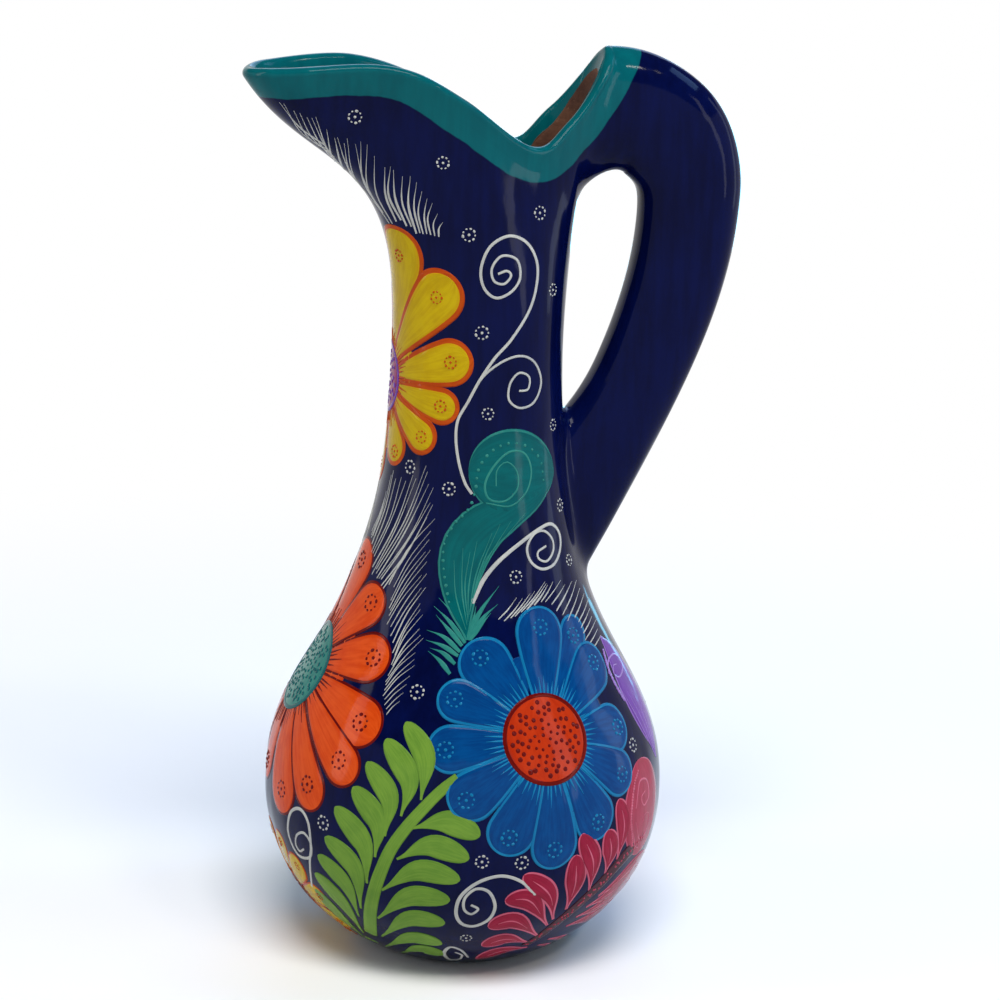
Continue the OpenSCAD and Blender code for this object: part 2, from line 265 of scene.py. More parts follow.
    def lip_frame(self, angles: Array) -> tuple[Array, ...]:
        """The collar's blend at each angle.

        Args:
            angles: Angles round the mouth in degrees.

        Returns:
            The outward normal and the upward direction of the lip, the collar's four curve points,
            and its length.
        """
        turn = np.radians(angles)
        spout = np.maximum(-np.cos(turn), 0) ** 2
        back = np.maximum(np.cos(turn), 0) ** 2
        side = np.array(self.side_form)
        form = (side + np.outer(spout, np.array(self.spout_form) - side)
                + np.outer(back, np.array(self.back_form) - side))
        tilt = np.radians(form[:, :1])
        along = self.rim(angles + 1) - self.rim(angles - 1)
        outward = unit(np.stack([along[:, 1], -along[:, 0], np.zeros(len(angles))], axis=1))
        rise = np.array([[0.0, 0.0, 1.0]])
        up = outward * np.cos(tilt) + rise * np.sin(tilt)
        normal = outward * np.sin(tilt) - rise * np.cos(tilt)
        edge = self.rim(angles) + (normal - up) * self.lip_t / 2
        low = np.stack([np.cos(turn) * self.neck_d / 2, np.sin(turn) * self.neck_d / 2,
                        np.full(len(angles), self.waist_z)], axis=1)
        plain = np.stack([back - spout, 0 * turn, 0 * turn], axis=1)
        meet_out = unit(outward * (1 - spout - back)[:, None] + plain)
        meet_dir = meet_out * np.cos(tilt) + rise * np.sin(tilt)
        reach = np.linalg.norm(edge - low, axis=1)
        leave = low + rise * (edge[:, 2:] - low[:, 2:]) * form[:, 1:2]
        meet = edge - meet_dir * (reach * form[:, 2])[:, None]
        return normal, up, low, leave, meet, edge, reach

    def turned_rows(self, places: Array, angles: Array) -> Array:
        """Rings of the turned wall.

        Args:
            places: Places along the outline, one for each ring.
            angles: Angles of the points round a ring, in degrees.

        Returns:
            The rings.
        """
        wall = self.profile(places)
        turn = np.radians(angles)
        return np.stack([np.outer(wall[:, 0], np.cos(turn)), np.outer(wall[:, 0], np.sin(turn)),
                         np.outer(wall[:, 1], np.ones_like(turn))], axis=-1)

    def lip_round(self, angles: Array, turns: Array) -> Array:
        """Rings over the lip's edge, for turns from its outer face over the crest to its inner face."""
        normal, up = self.lip_frame(angles)[:2]
        return np.stack([self.rim(angles) + self.lip_t / 2 * (math.cos(a) * normal + (math.sin(a) - 1) * up)
                         for a in turns])

    def collar_rows(self, shares: Array, angles: Array) -> Array:
        """Rings of the collar, for shares of each line from the waist to the lip's edge."""
        _, _, low, leave, meet, edge, _ = self.lip_frame(angles)
        t = np.broadcast_to(shares, (len(shares), len(angles)))[..., None]
        return cubic(low, leave, meet, edge, t)

    def lip_start(self, angles: Array) -> Array:
        """The share of each collar line at which the lip begins."""
        return 1 - self.lip_h / self.lip_frame(angles)[-1]

    def back_line(self, height: Array) -> Array:
        """How far the collar's back stands from the axis at a height."""
        line = self.collar_rows(np.linspace(0, 1, self.line_samples)[:, None], np.array([0.0]))[:, 0]
        return np.interp(height, line[:, 2], line[:, 0])

    def hand_made(self, rows: Array, normals: Array) -> Array:
        """The same rings with the slight unevenness of hand-built clay, level at the foot.

        Args:
            rows: The rings.
            normals: Their outward normals.

        Returns:
            The rings moved along their normals by waves of three lengths, named in millimetres.
        """
        x, y, z = np.moveaxis(rows, -1, 0)
        broad_x, broad_y, rising, falling = 19.0, 23.0, 41.0, 29.0
        mid_x, mid_y, mid_z, mid_share = 37.0, 31.0, 17.0, 0.6
        fine_y, fine_z, fine_share = 13.0, 8.5, 0.35
        level_to = 20.0
        waves = (np.sin(x / broad_x + z / rising) * np.sin(y / broad_y - z / falling)
                 + mid_share * np.sin(z / mid_z + x / mid_x - y / mid_y)
                 + fine_share * np.sin(z / fine_z + y / fine_y))
        return rows + normals * (self.unevenness * waves * smooth(z / level_to))[..., None]


def ring_normals(rows: Array) -> Array:
    """Outward normals of a sheet of rings that run anticlockwise and upwards."""
    around = np.roll(rows, -1, axis=1) - np.roll(rows, 1, axis=1)
    along = np.gradient(rows, axis=0)
    return unit(np.cross(around, along))


# Making meshes


def mesh_object(name: str, points: Array, faces: Sequence[Sequence[int]] = (),
                edges: Sequence[tuple[int, int]] = ()) -> Object:
    """A smooth mesh object from points in millimetres.

    Args:
        name: The object's name.
        points: The points, in the jug's own frame.
        faces: The corners of each face.
        edges: The ends of each line between points, where there are no faces.

    Returns:
        The new object, linked to the scene.
    """
    label = name.replace(" ", "_")
    mesh = bpy.data.meshes.new(label)
    mesh.from_pydata((np.asarray(points) * MM).tolist(), edges, faces)
    mesh.shade_smooth()
    piece = bpy.data.objects.new(label, mesh)
    bpy.context.scene.collection.objects.link(piece)
    return piece


def ring_faces(rings: int, columns: int, closed: bool = False) -> list[tuple[int, int, int, int]]:
    """Faces between neighbouring rings of points.

    Args:
        rings: How many rings there are.
        columns: Points round each ring.
        closed: Whether faces also go from the last ring to the first.

    Returns:
        The corners of each face.
    """
    pairs = rings if closed else rings - 1
    faces = []
    for j in range(pairs):
        low, high = j * columns, (j + 1) % rings * columns
        faces += [(low + i, low + (i + 1) % columns, high + (i + 1) % columns, high + i)
                  for i in range(columns)]
    return faces


def capped_faces(rings: int, columns: int) -> list[tuple[int, ...]]:
    """Faces between rings, and fans from the first and the last ring to the two points after them.

    Args:
        rings: How many rings there are.
        columns: Points round each ring.

    Returns:
        The corners of each face.
    """
    first, last, end = rings * columns, rings * columns + 1, (rings - 1) * columns
    fans = [(first, (i + 1) % columns, i) for i in range(columns)]
    fans += [(last, end + i, end + (i + 1) % columns) for i in range(columns)]
    return ring_faces(rings, columns) + fans


def baked(piece: Object) -> Object:
    """Keeps what a piece's modifiers make as its plain mesh.

    Args:
        piece: The piece.

    Returns:
        The same piece with no modifier.
    """
    depsgraph = bpy.context.evaluated_depsgraph_get()
    made = bpy.data.meshes.new_from_object(piece.evaluated_get(depsgraph), depsgraph=depsgraph)
    piece.modifiers.clear()
    old = piece.data
    piece.data = made
    bpy.data.meshes.remove(old)
    made.name = piece.name
    return piece


def mesh_points(piece: Object, kind: str = "co") -> Array:
    """The points of a mesh in millimetres, or their normals."""
    values = np.empty(len(piece.data.vertices) * 3)
    piece.data.vertices.foreach_get(kind, values)
    return values.reshape(-1, 3) / (MM if kind == "co" else 1.0)


def set_floats(piece: Object, name: str, values: Array) -> None:
    """Gives every point of a mesh a number under a name."""
    layer = piece.data.attributes.new(name, "FLOAT", "POINT")
    layer.data.foreach_set("value", np.asarray(values, np.float32).ravel())


def set_vectors(piece: Object, name: str, values: Array) -> None:
    """Gives every point of a mesh a vector under a name."""
    layer = piece.data.attributes.new(name, "FLOAT_VECTOR", "POINT")
    layer.data.foreach_set("vector", np.asarray(values, np.float32).ravel())


# Nodes written as sums


class Term:
    """A node's socket that takes part in sums of numbers."""

    def __init__(self, graph: "Graph", socket: NodeSocket) -> None:
        """Keeps the graph and the socket."""
        self.graph = graph
        self.socket = socket

    def __add__(self, other: "Term | float") -> "Term":
        """The sum."""
        return self.graph.math("ADD", self, other)

    def __radd__(self, other: float) -> "Term":
        """The sum, with the number first."""
        return self.graph.math("ADD", other, self)

    def __sub__(self, other: "Term | float") -> "Term":
        """The difference."""
        return self.graph.math("SUBTRACT", self, other)

    def __rsub__(self, other: float) -> "Term":
        """The difference, with the number first."""
        return self.graph.math("SUBTRACT", other, self)

    def __mul__(self, other: "Term | float") -> "Term":
        """The product."""
        return self.graph.math("MULTIPLY", self, other)

    def __rmul__(self, other: float) -> "Term":
        """The product, with the number first."""
        return self.graph.math("MULTIPLY", other, self)

    def __truediv__(self, other: "Term | float") -> "Term":
        """The quotient."""
        return self.graph.math("DIVIDE", self, other)

    def __pow__(self, other: "Term | float") -> "Term":
        """The power."""
        return self.graph.math("POWER", self, other)

    def __neg__(self) -> "Term":
        """The negative."""
        return self.graph.math("MULTIPLY", self, -1.0)

    def clamped(self) -> "Term":
        """The value held between 0 and 1."""
        return self.graph.node("ShaderNodeClamp", inputs={"Value": self})

    def step(self, low: float, high: float) -> "Term":
        """An eased step from 0 at low to 1 at high."""
        return self.graph.node("ShaderNodeMapRange", {"interpolation_type": "SMOOTHSTEP"},
                               {"Value": self, "From Min": low, "From Max": high})


class Graph:
    """A node tree with one method for nodes and a few for sums."""

    def __init__(self, tree: NodeTree) -> None:
        """Keeps the tree."""
        self.tree = tree

    def node(self, kind: str, settings: dict | None = None, inputs: dict | None = None,
             out: int | str = 0) -> Term:
        """Adds a node.

        Args:
            kind: The node's type.
            settings: Its settings, set before its sockets.
            inputs: Values or links of its sockets, by name or by number.
            out: The output to hand back, by name or by number.

        Returns:
            The output as a term.
        """
        made = self.tree.nodes.new(kind)
        for name, value in (settings or {}).items():
            setattr(made, name, value)
        for name, value in (inputs or {}).items():
            socket = made.inputs[name]
            for part in value if isinstance(value, list) else [value]:
                if isinstance(part, Term):
                    self.tree.links.new(part.socket, socket)
                else:
                    socket.default_value = part
        return Term(self, made.outputs[out])

    def math(self, operation: str, first: Term | float, second: Term | float = 0.0) -> Term:
        """A Math node on one or two values."""
        return self.node("ShaderNodeMath", {"operation": operation}, {0: first, 1: second})

    def vector(self, operation: str, first: Term, second: Term | tuple, out: int | str = 0) -> Term:
        """A Vector Math node on two vectors."""
        return self.node("ShaderNodeVectorMath", {"operation": operation}, {0: first, 1: second}, out)

    def scaled(self, arrow: Term, length: Term | float) -> Term:
        """A vector times a number."""
        return self.node("ShaderNodeVectorMath", {"operation": "SCALE"}, {0: arrow, "Scale": length})

    def xyz(self, x: Term | float, y: Term | float, z: Term | float) -> Term:
        """A vector from three numbers."""
        return self.node("ShaderNodeCombineXYZ", inputs={"X": x, "Y": y, "Z": z})

    def parts(self, arrow: Term) -> tuple[Term, Term, Term]:
        """The three numbers of a vector."""
        split = self.node("ShaderNodeSeparateXYZ", inputs={0: arrow}).socket.node
        return tuple(Term(self, socket) for socket in split.outputs)

    def tone(self, share: Term | float, low: Term | Tone, high: Term | Tone) -> Term:
        """A colour part of the way from low to high."""
        first, second = [value if isinstance(value, Term) else (*value, 1.0) for value in (low, high)]
        return self.node("ShaderNodeMix", {"data_type": "RGBA"}, {0: share, 6: first, 7: second}, 2)


# Geometry Nodes for what follows a path or a surface


class PieceTree(Graph):
    """A Geometry Nodes tree with named inputs, and the way to bake a piece with it."""

    def __init__(self, name: str, inputs: dict[str, str]) -> None:
        """Makes the tree and its inputs.

        Args:
            name: The tree's name.
            inputs: Socket types by name, after the geometry itself.
        """
        super().__init__(bpy.data.node_groups.new(name, "GeometryNodeTree"))
        face = self.tree.interface
        face.new_socket("Geometry", in_out="INPUT", socket_type="NodeSocketGeometry")
        face.new_socket("Geometry", in_out="OUTPUT", socket_type="NodeSocketGeometry")
        self.keys = {key: face.new_socket(key, in_out="INPUT", socket_type=kind).identifier
                     for key, kind in inputs.items()}
        self.entry = self.tree.nodes.new("NodeGroupInput")

    def given(self, name: str) -> Term:
        """One of the tree's inputs."""
        return Term(self, self.entry.outputs[name])

    def named(self, name: str, kind: str = "FLOAT") -> Term:
        """A point's own number or vector."""
        return self.node("GeometryNodeInputNamedAttribute", {"data_type": kind}, {"Name": name})

    def stored(self, shape: Term, name: str, value: Term, kind: str = "FLOAT") -> Term:
        """The same shape with a number or a vector kept on each point."""
        return self.node("GeometryNodeStoreNamedAttribute", {"data_type": kind, "domain": "POINT"},
                         {"Geometry": shape, "Name": name, "Value": value})

    def skin(self) -> Term:
        """The clay's outer skin."""
        return self.node("GeometryNodeObjectInfo", {"transform_space": "ORIGINAL"},
                         {"Object": self.given("Skin")}, "Geometry")

    def skin_normal(self, skin: Term) -> Term:
        """The skin's normal nearest to each point."""
        return self.node("GeometryNodeSampleNearestSurface", {"data_type": "FLOAT_VECTOR"},
                         {"Mesh": skin, "Value": self.named("skin_normal", "FLOAT_VECTOR")})

    def skin_point(self, skin: Term) -> Term:
        """The skin's point nearest to each point."""
        return self.node("GeometryNodeProximity", {"target_element": "FACES"}, {"Geometry": skin},
                         "Position")

    def laid(self, shape: Term, skin: Term) -> Term:
        """Lays a shape on the skin, each point as high as its own rise says.

        Args:
            shape: The shape.
            skin: The skin.

        Returns:
            The shape in its place.
        """
        rise = self.named("rise")
        flat_top = 0.2
        height = self.math("SIGN", rise) * self.math("ABSOLUTE", rise) ** flat_top * self.given("Lift")
        place = self.vector("ADD", self.skin_point(skin), self.scaled(self.skin_normal(skin), height))
        return self.node("GeometryNodeSetPosition", inputs={"Geometry": shape, "Position": place})

    def finished(self, shape: Term) -> None:
        """Ends the tree: instances made real, smooth and with the finish.

        Args:
            shape: What the tree has made.
        """
        real = self.node("GeometryNodeRealizeInstances", inputs={"Geometry": shape})
        soft = self.node("GeometryNodeSetShadeSmooth", inputs={"Geometry": real})
        dressed = self.node("GeometryNodeSetMaterial",
                            inputs={"Geometry": soft, "Material": self.given("Finish")})
        leave = self.tree.nodes.new("NodeGroupOutput")
        self.tree.links.new(dressed.socket, leave.inputs[0])

    def bake(self, piece: Object, values: dict[str, object]) -> Object:
        """Runs the tree on a piece and keeps the result as its plain mesh.

        Args:
            piece: The object that holds the tree's geometry.
            values: The tree's inputs by name.

        Returns:
            The same object with its new mesh and no modifier.
        """
        modifier = piece.modifiers.new(self.tree.name, "NODES")
        modifier.node_group = self.tree
        for name, value in values.items():
            modifier[self.keys[name]] = value
        return baked(piece)


class FilmTree(PieceTree):
    """Sweeps brush strokes into thin closed films of paint on the skin."""

    def __init__(self) -> None:
        """Builds the tree: strokes to curves, a flat round section along each, laid on the skin."""
        super().__init__("paint film", {"Skin": "NodeSocketObject", "Finish": "NodeSocketMaterial",
                                        "Lift": "NodeSocketFloat", "Edge Points": "NodeSocketInt"})
        flatness = (0.02, 1.0, 1.0)
        skin = self.skin()
        lines = self.node("GeometryNodeMeshToCurve", inputs={"Mesh": self.given("Geometry")})
        lines = self.node("GeometryNodeSetCurveNormal", {"mode": "FREE"},
                          {"Curve": lines, "Normal": self.skin_normal(skin)})
        section = self.node("GeometryNodeCurvePrimitiveCircle",
                            inputs={"Resolution": self.given("Edge Points"), "Radius": 1.0})
        x, y, _ = self.parts(self.node("GeometryNodeInputPosition"))
        section = self.stored(self.stored(section, "rise", x), "across", y)
        section = self.node("GeometryNodeTransform", inputs={"Geometry": section, "Scale": flatness})
        film = self.node("GeometryNodeCurveToMesh",
                         inputs={"Curve": lines, "Profile Curve": section,
                                 "Scale": self.named("half_width"), "Fill Caps": True})
        self.finished(self.laid(film, skin))


class DotTree(PieceTree):
    """Sets dots, or rings of dashes round a dot, on the skin."""

    def __init__(self) -> None:
        """Builds the tree: a dash repeated round a ring, the ring repeated on the points."""
        super().__init__("dots", {"Skin": "NodeSocketObject", "Finish": "NodeSocketMaterial",
                                  "Lift": "NodeSocketFloat", "Dashes": "NodeSocketInt",
                                  "Dash Length": "NodeSocketFloat", "Dash Width": "NodeSocketFloat",
                                  "Dot Size": "NodeSocketFloat", "Seed": "NodeSocketInt"})
        skin = self.skin()
        bead = self.node("GeometryNodeMeshUVSphere", inputs={"Segments": 8, "Rings": 4, "Radius": 1.0})
        _, _, z = self.parts(self.node("GeometryNodeInputPosition"))
        bead = self.stored(bead, "rise", z)
        flat = 0.1
        size = self.xyz(self.given("Dash Width"), self.given("Dash Length"), flat)
        dash = self.node("GeometryNodeTransform", inputs={"Geometry": bead, "Scale": size})
        dot_size = self.given("Dot Size")
        dot = self.node("GeometryNodeTransform",
                        inputs={"Geometry": bead, "Scale": self.xyz(dot_size, dot_size, flat)})
        ring = self.node("GeometryNodeMeshCircle", inputs={"Vertices": self.given("Dashes"), "Radius": 1.0})
        radial = self.node("FunctionNodeAlignRotationToVector", {"axis": "X"},
                           {"Vector": self.node("GeometryNodeInputPosition")})
        uneven = self.node("FunctionNodeRandomValue", {"data_type": "FLOAT"},
                           {"Min": 0.7, "Max": 1.25, "Seed": self.given("Seed")}, 1)
        dashes = self.node("GeometryNodeInstanceOnPoints",
                           inputs={"Points": ring, "Instance": dash, "Rotation": radial, "Scale": uneven})
        rosette = self.node("GeometryNodeJoinGeometry", inputs={"Geometry": [dashes, dot]})
        rosette = self.node("GeometryNodeRealizeInstances", inputs={"Geometry": rosette})
        spots = self.node("GeometryNodeMeshToPoints", inputs={"Mesh": self.given("Geometry")})
        stand = self.node("FunctionNodeAlignRotationToVector", {"axis": "Z"},
                          {"Vector": self.skin_normal(skin)})
        spin = self.node("FunctionNodeRandomValue", {"data_type": "FLOAT"},
                         {"Min": 0.0, "Max": math.tau, "Seed": self.given("Seed")}, 1)
        twist = self.node("FunctionNodeAxisAngleToRotation", inputs={"Axis": (0, 0, 1), "Angle": spin})
        stand = self.node("FunctionNodeRotateRotation", {"rotation_space": "LOCAL"},
                          {"Rotation": stand, "Rotate By": twist})
        placed = self.node("GeometryNodeInstanceOnPoints",
                           inputs={"Points": spots, "Instance": rosette, "Rotation": stand,
                                   "Scale": self.named("dot_radius")})
        real = self.node("GeometryNodeRealizeInstances", inputs={"Geometry": placed})
        self.finished(self.laid(real, skin))


class HandleTree(PieceTree):
    """Pulls a round-cornered section along the handle's middle line, its buried ends held in the wall."""

    def __init__(self) -> None:
        """Builds the tree: a sheet of points, each set by its place along and its turn round the line."""
        super().__init__("pulled handle", {
            "Skin": "NodeSocketObject", "Finish": "NodeSocketMaterial", "Places": "NodeSocketInt",
            "Sides": "NodeSocketInt", "Back Lean": "NodeSocketFloat", "Back Bow": "NodeSocketFloat",
            "Back Round": "NodeSocketFloat", "Bed": "NodeSocketFloat"})
        rail = self.given("Geometry")
        columns = self.given("Sides") + 1
        sheet = self.node("GeometryNodeMeshGrid",
                          inputs={"Vertices X": self.given("Places"), "Vertices Y": columns})
        index = self.node("GeometryNodeInputIndex")
        mid_cell = 0.5
        row = self.math("FLOOR", (index + mid_cell) / columns)
        turn = (index - row * columns) / self.given("Sides") * math.tau
        mid_x, _, mid_z = self.parts(self._along(rail, row, self.node("GeometryNodeInputPosition")))
        lead_x, _, lead_z = self.parts(self._along(rail, row, self.named("lead", "FLOAT_VECTOR")))
        power, square, web, half_depth, half_width = [
            self._along(rail, row, self.named(name))
            for name in ("power", "square", "web", "half_depth", "half_width")]
        cosine = self.math("COSINE", turn)
        under = 1 + web * self.math("LESS_THAN", cosine, 0.0)
        deep = self._rounded(cosine, power) * half_depth * under
        wide = -self._rounded(self.math("SINE", turn), power) * half_width
        bent = deep * self.given("Back Lean") + deep * deep * self.given("Back Bow")
        bent = bent - wide * wide / (self.given("Back Round") * 2)
        x = mid_x + bent + square * (-lead_z * deep - bent)
        z = mid_z + deep + square * (lead_x * deep - deep)
        shape = self.node("GeometryNodeSetPosition",
                          inputs={"Geometry": sheet, "Position": self.xyz(x, wide, z)})
        shape = self.node("GeometryNodeMergeByDistance", inputs={"Geometry": shape, "Distance": 1e-6})
        shape = self.node("GeometryNodeFlipFaces", inputs={"Mesh": shape})
        self.finished(self._bedded(shape))

    def _along(self, rail: Term, row: Term, value: Term) -> Term:
        """A value of the middle line at a row's place."""
        kind = "FLOAT_VECTOR" if value.socket.type == "VECTOR" else "FLOAT"
        return self.node("GeometryNodeSampleIndex", {"data_type": kind, "domain": "POINT", "clamp": True},
                         {"Geometry": rail, "Value": value, "Index": row})

    def _rounded(self, value: Term, power: Term) -> Term:
        """A cosine or sine bent towards a round-cornered oblong."""
        return self.math("SIGN", value) * self.math("ABSOLUTE", value) ** power

    def _bedded(self, shape: Term) -> Term:
        """Holds what is buried inside the wall.

        Args:
            shape: The pulled handle.

        Returns:
            The handle with its buried ends in their bed.
        """
        skin = self.skin()
        gap = self.vector("SUBTRACT", self.node("GeometryNodeInputPosition"), self.skin_point(skin))
        depth = self.vector("DOT_PRODUCT", gap, self.skin_normal(skin), "Value")
        held = self.math("MAXIMUM", depth, -self.given("Bed"))
        push = self.scaled(self.skin_normal(skin), held - depth)
        return self.node("GeometryNodeSetPosition", inputs={"Geometry": shape, "Offset": push})


# Finishes


class Finish(Graph):
    """A material's node tree with the detail that all finishes share."""

    def __init__(self, name: str) -> None:
        """Makes an empty material.

        Args:
            name: Its name.
        """
        self.material = bpy.data.materials.new(name)
        self.material.use_nodes = True
        super().__init__(self.material.node_tree)
        self.tree.nodes.clear()

    def spot(self) -> Term:
        """Where a point is on the object."""
        return self.node("ShaderNodeTexCoord", out="Object")

    def noise(self, where: Term, scale: float, detail: float = 3.0, roughness: float = 0.55) -> Term:
        """A cloudy value about one half."""
        return self.node("ShaderNodeTexNoise", inputs={"Vector": where, "Scale": scale, "Detail": detail,
                                                       "Roughness": roughness})

    def stretched(self, where: Term, upright: float) -> Term:
        """Places whose pattern is longer upright, for a share below 1, or flatter, for one above it."""
        return self.vector("MULTIPLY", where, (1.0, 1.0, upright))

    def attribute(self, name: str) -> Term:
        """A number kept on the mesh."""
        return self.node("ShaderNodeAttribute", {"attribute_name": name}, out="Fac")

    def varnish_height(self) -> Term:
        """The brushed varnish: long upright ripples, dips and fine grain, the same over all paint."""
        dip_share, grain_share = 0.07, 0.004
        where = self.spot()
        ripple = self.noise(self.stretched(where, upright=0.28), scale=55.0, detail=1.0, roughness=0.4)
        dips = self.noise(where, scale=120.0, detail=1.0)
        grain = self.noise(where, scale=900.0, detail=2.0)
        return ripple + dips * dip_share + grain * grain_share

    def bumped(self, height: Term, distance: float) -> Term:
        """A normal for a height in metres."""
        return self.node("ShaderNodeBump", inputs={"Strength": 1.0, "Distance": distance, "Height": height})

    def surface(self, colour: Term, roughness: Term, normal: Term, specular: float) -> Material:
        """Ends the material in one surface.

        Args:
            colour: The base colour.
            roughness: The gloss.
            normal: The bumped normal.
            specular: How strongly the surface mirrors, the same all over.

        Returns:
            The finished material.
        """
        shader = self.node("ShaderNodeBsdfPrincipled",
                           inputs={"Base Color": colour, "Roughness": roughness, "Normal": normal,
                                   "Specular IOR Level": specular})
        end = self.tree.nodes.new("ShaderNodeOutputMaterial")
        self.tree.links.new(shader.socket, end.inputs["Surface"])
        return self.material


VARNISH_SPECULAR = 0.07
VARNISH_DEPTH = 0.0012


@dataclass(frozen=True)
class ClayTones:
    """Colours of the fired clay, darkened below lit terracotta as painted shade of the jug's inside, and
    used on the foot's underside too.
    """

    # Both cloud tones are darkened clay: painted shade of the jug's inside.
    light: Tone = (0.12, 0.050, 0.027)
    dark: Tone = (0.052, 0.020, 0.013)
    dust: Tone = (0.20, 0.10, 0.065)

    def colour(self, finish: Finish) -> Term:
        """Clay with cloudy firing marks and pale grit.

        Args:
            finish: The finish that it is for.

        Returns:
            The colour.
        """
        grit_share = 0.5
        where = finish.spot()
        cloud = finish.noise(where, scale=38.0, detail=5.0, roughness=0.65).step(low=0.3, high=0.7)
        grit = finish.noise(where, scale=620.0, detail=2.0).step(low=0.62, high=0.74)
        return finish.tone(grit * grit_share, finish.tone(cloud, self.dark, self.light), self.dust)


@dataclass(frozen=True)
class GlazeTones:
    """Colours of a brushed ground glaze."""

    deep: Tone
    full: Tone
    worn: Tone

    def colour(self, finish: Finish) -> Term:
        """Glaze with long brush streaks, thicker pools and fine pale wear.

        Args:
            finish: The finish that it is for.

        Returns:
            The colour.
        """
        streak_share, wear_share = 0.55, 0.18
        where = finish.spot()
        streak = finish.noise(finish.stretched(where, upright=0.12), scale=240.0, detail=4.0, roughness=0.6)
        pool = finish.noise(where, scale=24.0)
        wear = finish.noise(where, scale=1100.0, detail=2.0).step(low=0.7, high=0.82)
        share = (streak * streak_share + pool * (1 - streak_share)).step(low=0.34, high=0.66)
        return finish.tone(wear * wear_share, finish.tone(share, self.deep, self.full), self.worn)


COBALT = GlazeTones((0.0006, 0.0020, 0.026), (0.0010, 0.0036, 0.044), (0.012, 0.022, 0.11))
TURQUOISE = GlazeTones((0.0008, 0.080, 0.096), (0.001, 0.102, 0.116), (0.02, 0.18, 0.17))
# The clay's tones carry painted shade: darker than lit terracotta, for the shadowed inside.
CLAY_IN_PAINTED_SHADE = ClayTones()


class BareClay:
    """Unglazed terracotta: matt, with grit and finger marks."""

    def material(self) -> Material:
        """Builds the material."""
        grit_share, least_rough, more_rough = 0.25, 0.78, 0.18
        finish = Finish("bare terracotta")
        where = finish.spot()
        marks = finish.noise(finish.stretched(where, upright=4.0), scale=60.0, detail=4.0)
        height = marks + finish.noise(where, scale=700.0) * grit_share
        rough = least_rough + finish.noise(where, scale=90.0) * more_rough
        normal = finish.bumped(height, distance=0.0005)
        # The clay colour is the one darkened as painted shade for the jug's inside.
        return finish.surface(CLAY_IN_PAINTED_SHADE.colour(finish), rough, normal, specular=0.25)


@dataclass(frozen=True)
class JugGlaze:
    """Glossy varnish over a cobalt ground, a turquoise band along the rim and bare clay inside it, whose
    colour is darkened as painted shade.

    Attributes:
        name: The material's name.
        band: How far from the rim the turquoise goes outside, in millimetres.
        depth: How far it goes inside.
        sway: How far the brush strays at the band's edge.
        inner_sway: How far it strays inside.
        blur: Half the width over which the band fades.
        inner_blur: The same inside.
    """

    name: str
    band: float = 12.0
    depth: float = 12.5
    sway: float = 1.6
    inner_sway: float = 6.0
    blur: float = 0.3
    inner_blur: float = 0.35

    def material(self) -> Material:
        """Builds the material: the mesh says how far outside and inside the rim each point is."""
        middle, least_rough, more_rough, bare_rough, grit_share = 0.5, 0.05, 0.06, 0.8, 0.3
        finish = Finish(self.name)
        where = finish.spot()
        outer = finish.noise(where, scale=110.0, detail=2.0) - middle
        outer = finish.attribute("rim_gap") + outer * self.sway
        inner = finish.noise(where, scale=80.0, detail=4.0) - middle
        inner = finish.attribute("inside") + inner * self.inner_sway
        blue = outer.step(self.band - self.blur, self.band + self.blur)
        bare = inner.step(self.depth - self.inner_blur, self.depth + self.inner_blur)
        colour = finish.tone(blue, TURQUOISE.colour(finish), COBALT.colour(finish))
        rough = least_rough + finish.noise(where, scale=130.0) * more_rough
        rough = rough + bare * (bare_rough - rough)
        height = finish.varnish_height() + bare * finish.noise(where, scale=700.0) * grit_share
        # Bare clay inside the mouth, in clay tones darkened as painted shade.
        colour = finish.tone(bare, colour, CLAY_IN_PAINTED_SHADE.colour(finish))
        return finish.surface(colour, rough, finish.bumped(height, VARNISH_DEPTH), VARNISH_SPECULAR)


@dataclass(frozen=True)
class Pigment:
    """A brushed paint: a slot name that nothing here uses, its full tone, its thin tone and its dark tone.
    """

    slot: str
    full: Tone
    thin: Tone
    dark: Tone

    def material(self, name: str) -> Material:
        """Builds the material: streaks run along each stroke, and pigment gathers at its edges.

        Args:
            name: The material's name.

        Returns:
            The finished material.
        """
        fine_across, fine_along, apart = 2.4, 1.3, 3.7
        streak_share, rim_share, least_rough, more_rough = 0.62, 0.45, 0.06, 0.07
        finish = Finish(name + " paint")
        where = finish.spot()
        across = finish.attribute("across")
        path = finish.xyz(across * fine_across, finish.attribute("along") * fine_along,
                          finish.attribute("stroke_id") * apart)
        streak = finish.noise(path, scale=3.0, detail=4.0, roughness=0.6)
        cloud = finish.noise(where, scale=120.0)
        share = (streak * streak_share + cloud * (1 - streak_share)).step(low=0.36, high=0.64)
        rim = finish.math("ABSOLUTE", across).step(low=0.72, high=1.0)
        colour = finish.tone(rim * rim_share, finish.tone(share, self.thin, self.full), self.dark)
        rough = least_rough + finish.noise(where, scale=130.0) * more_rough
        normal = finish.bumped(finish.varnish_height(), VARNISH_DEPTH)
        return finish.surface(colour, rough, normal, VARNISH_SPECULAR)


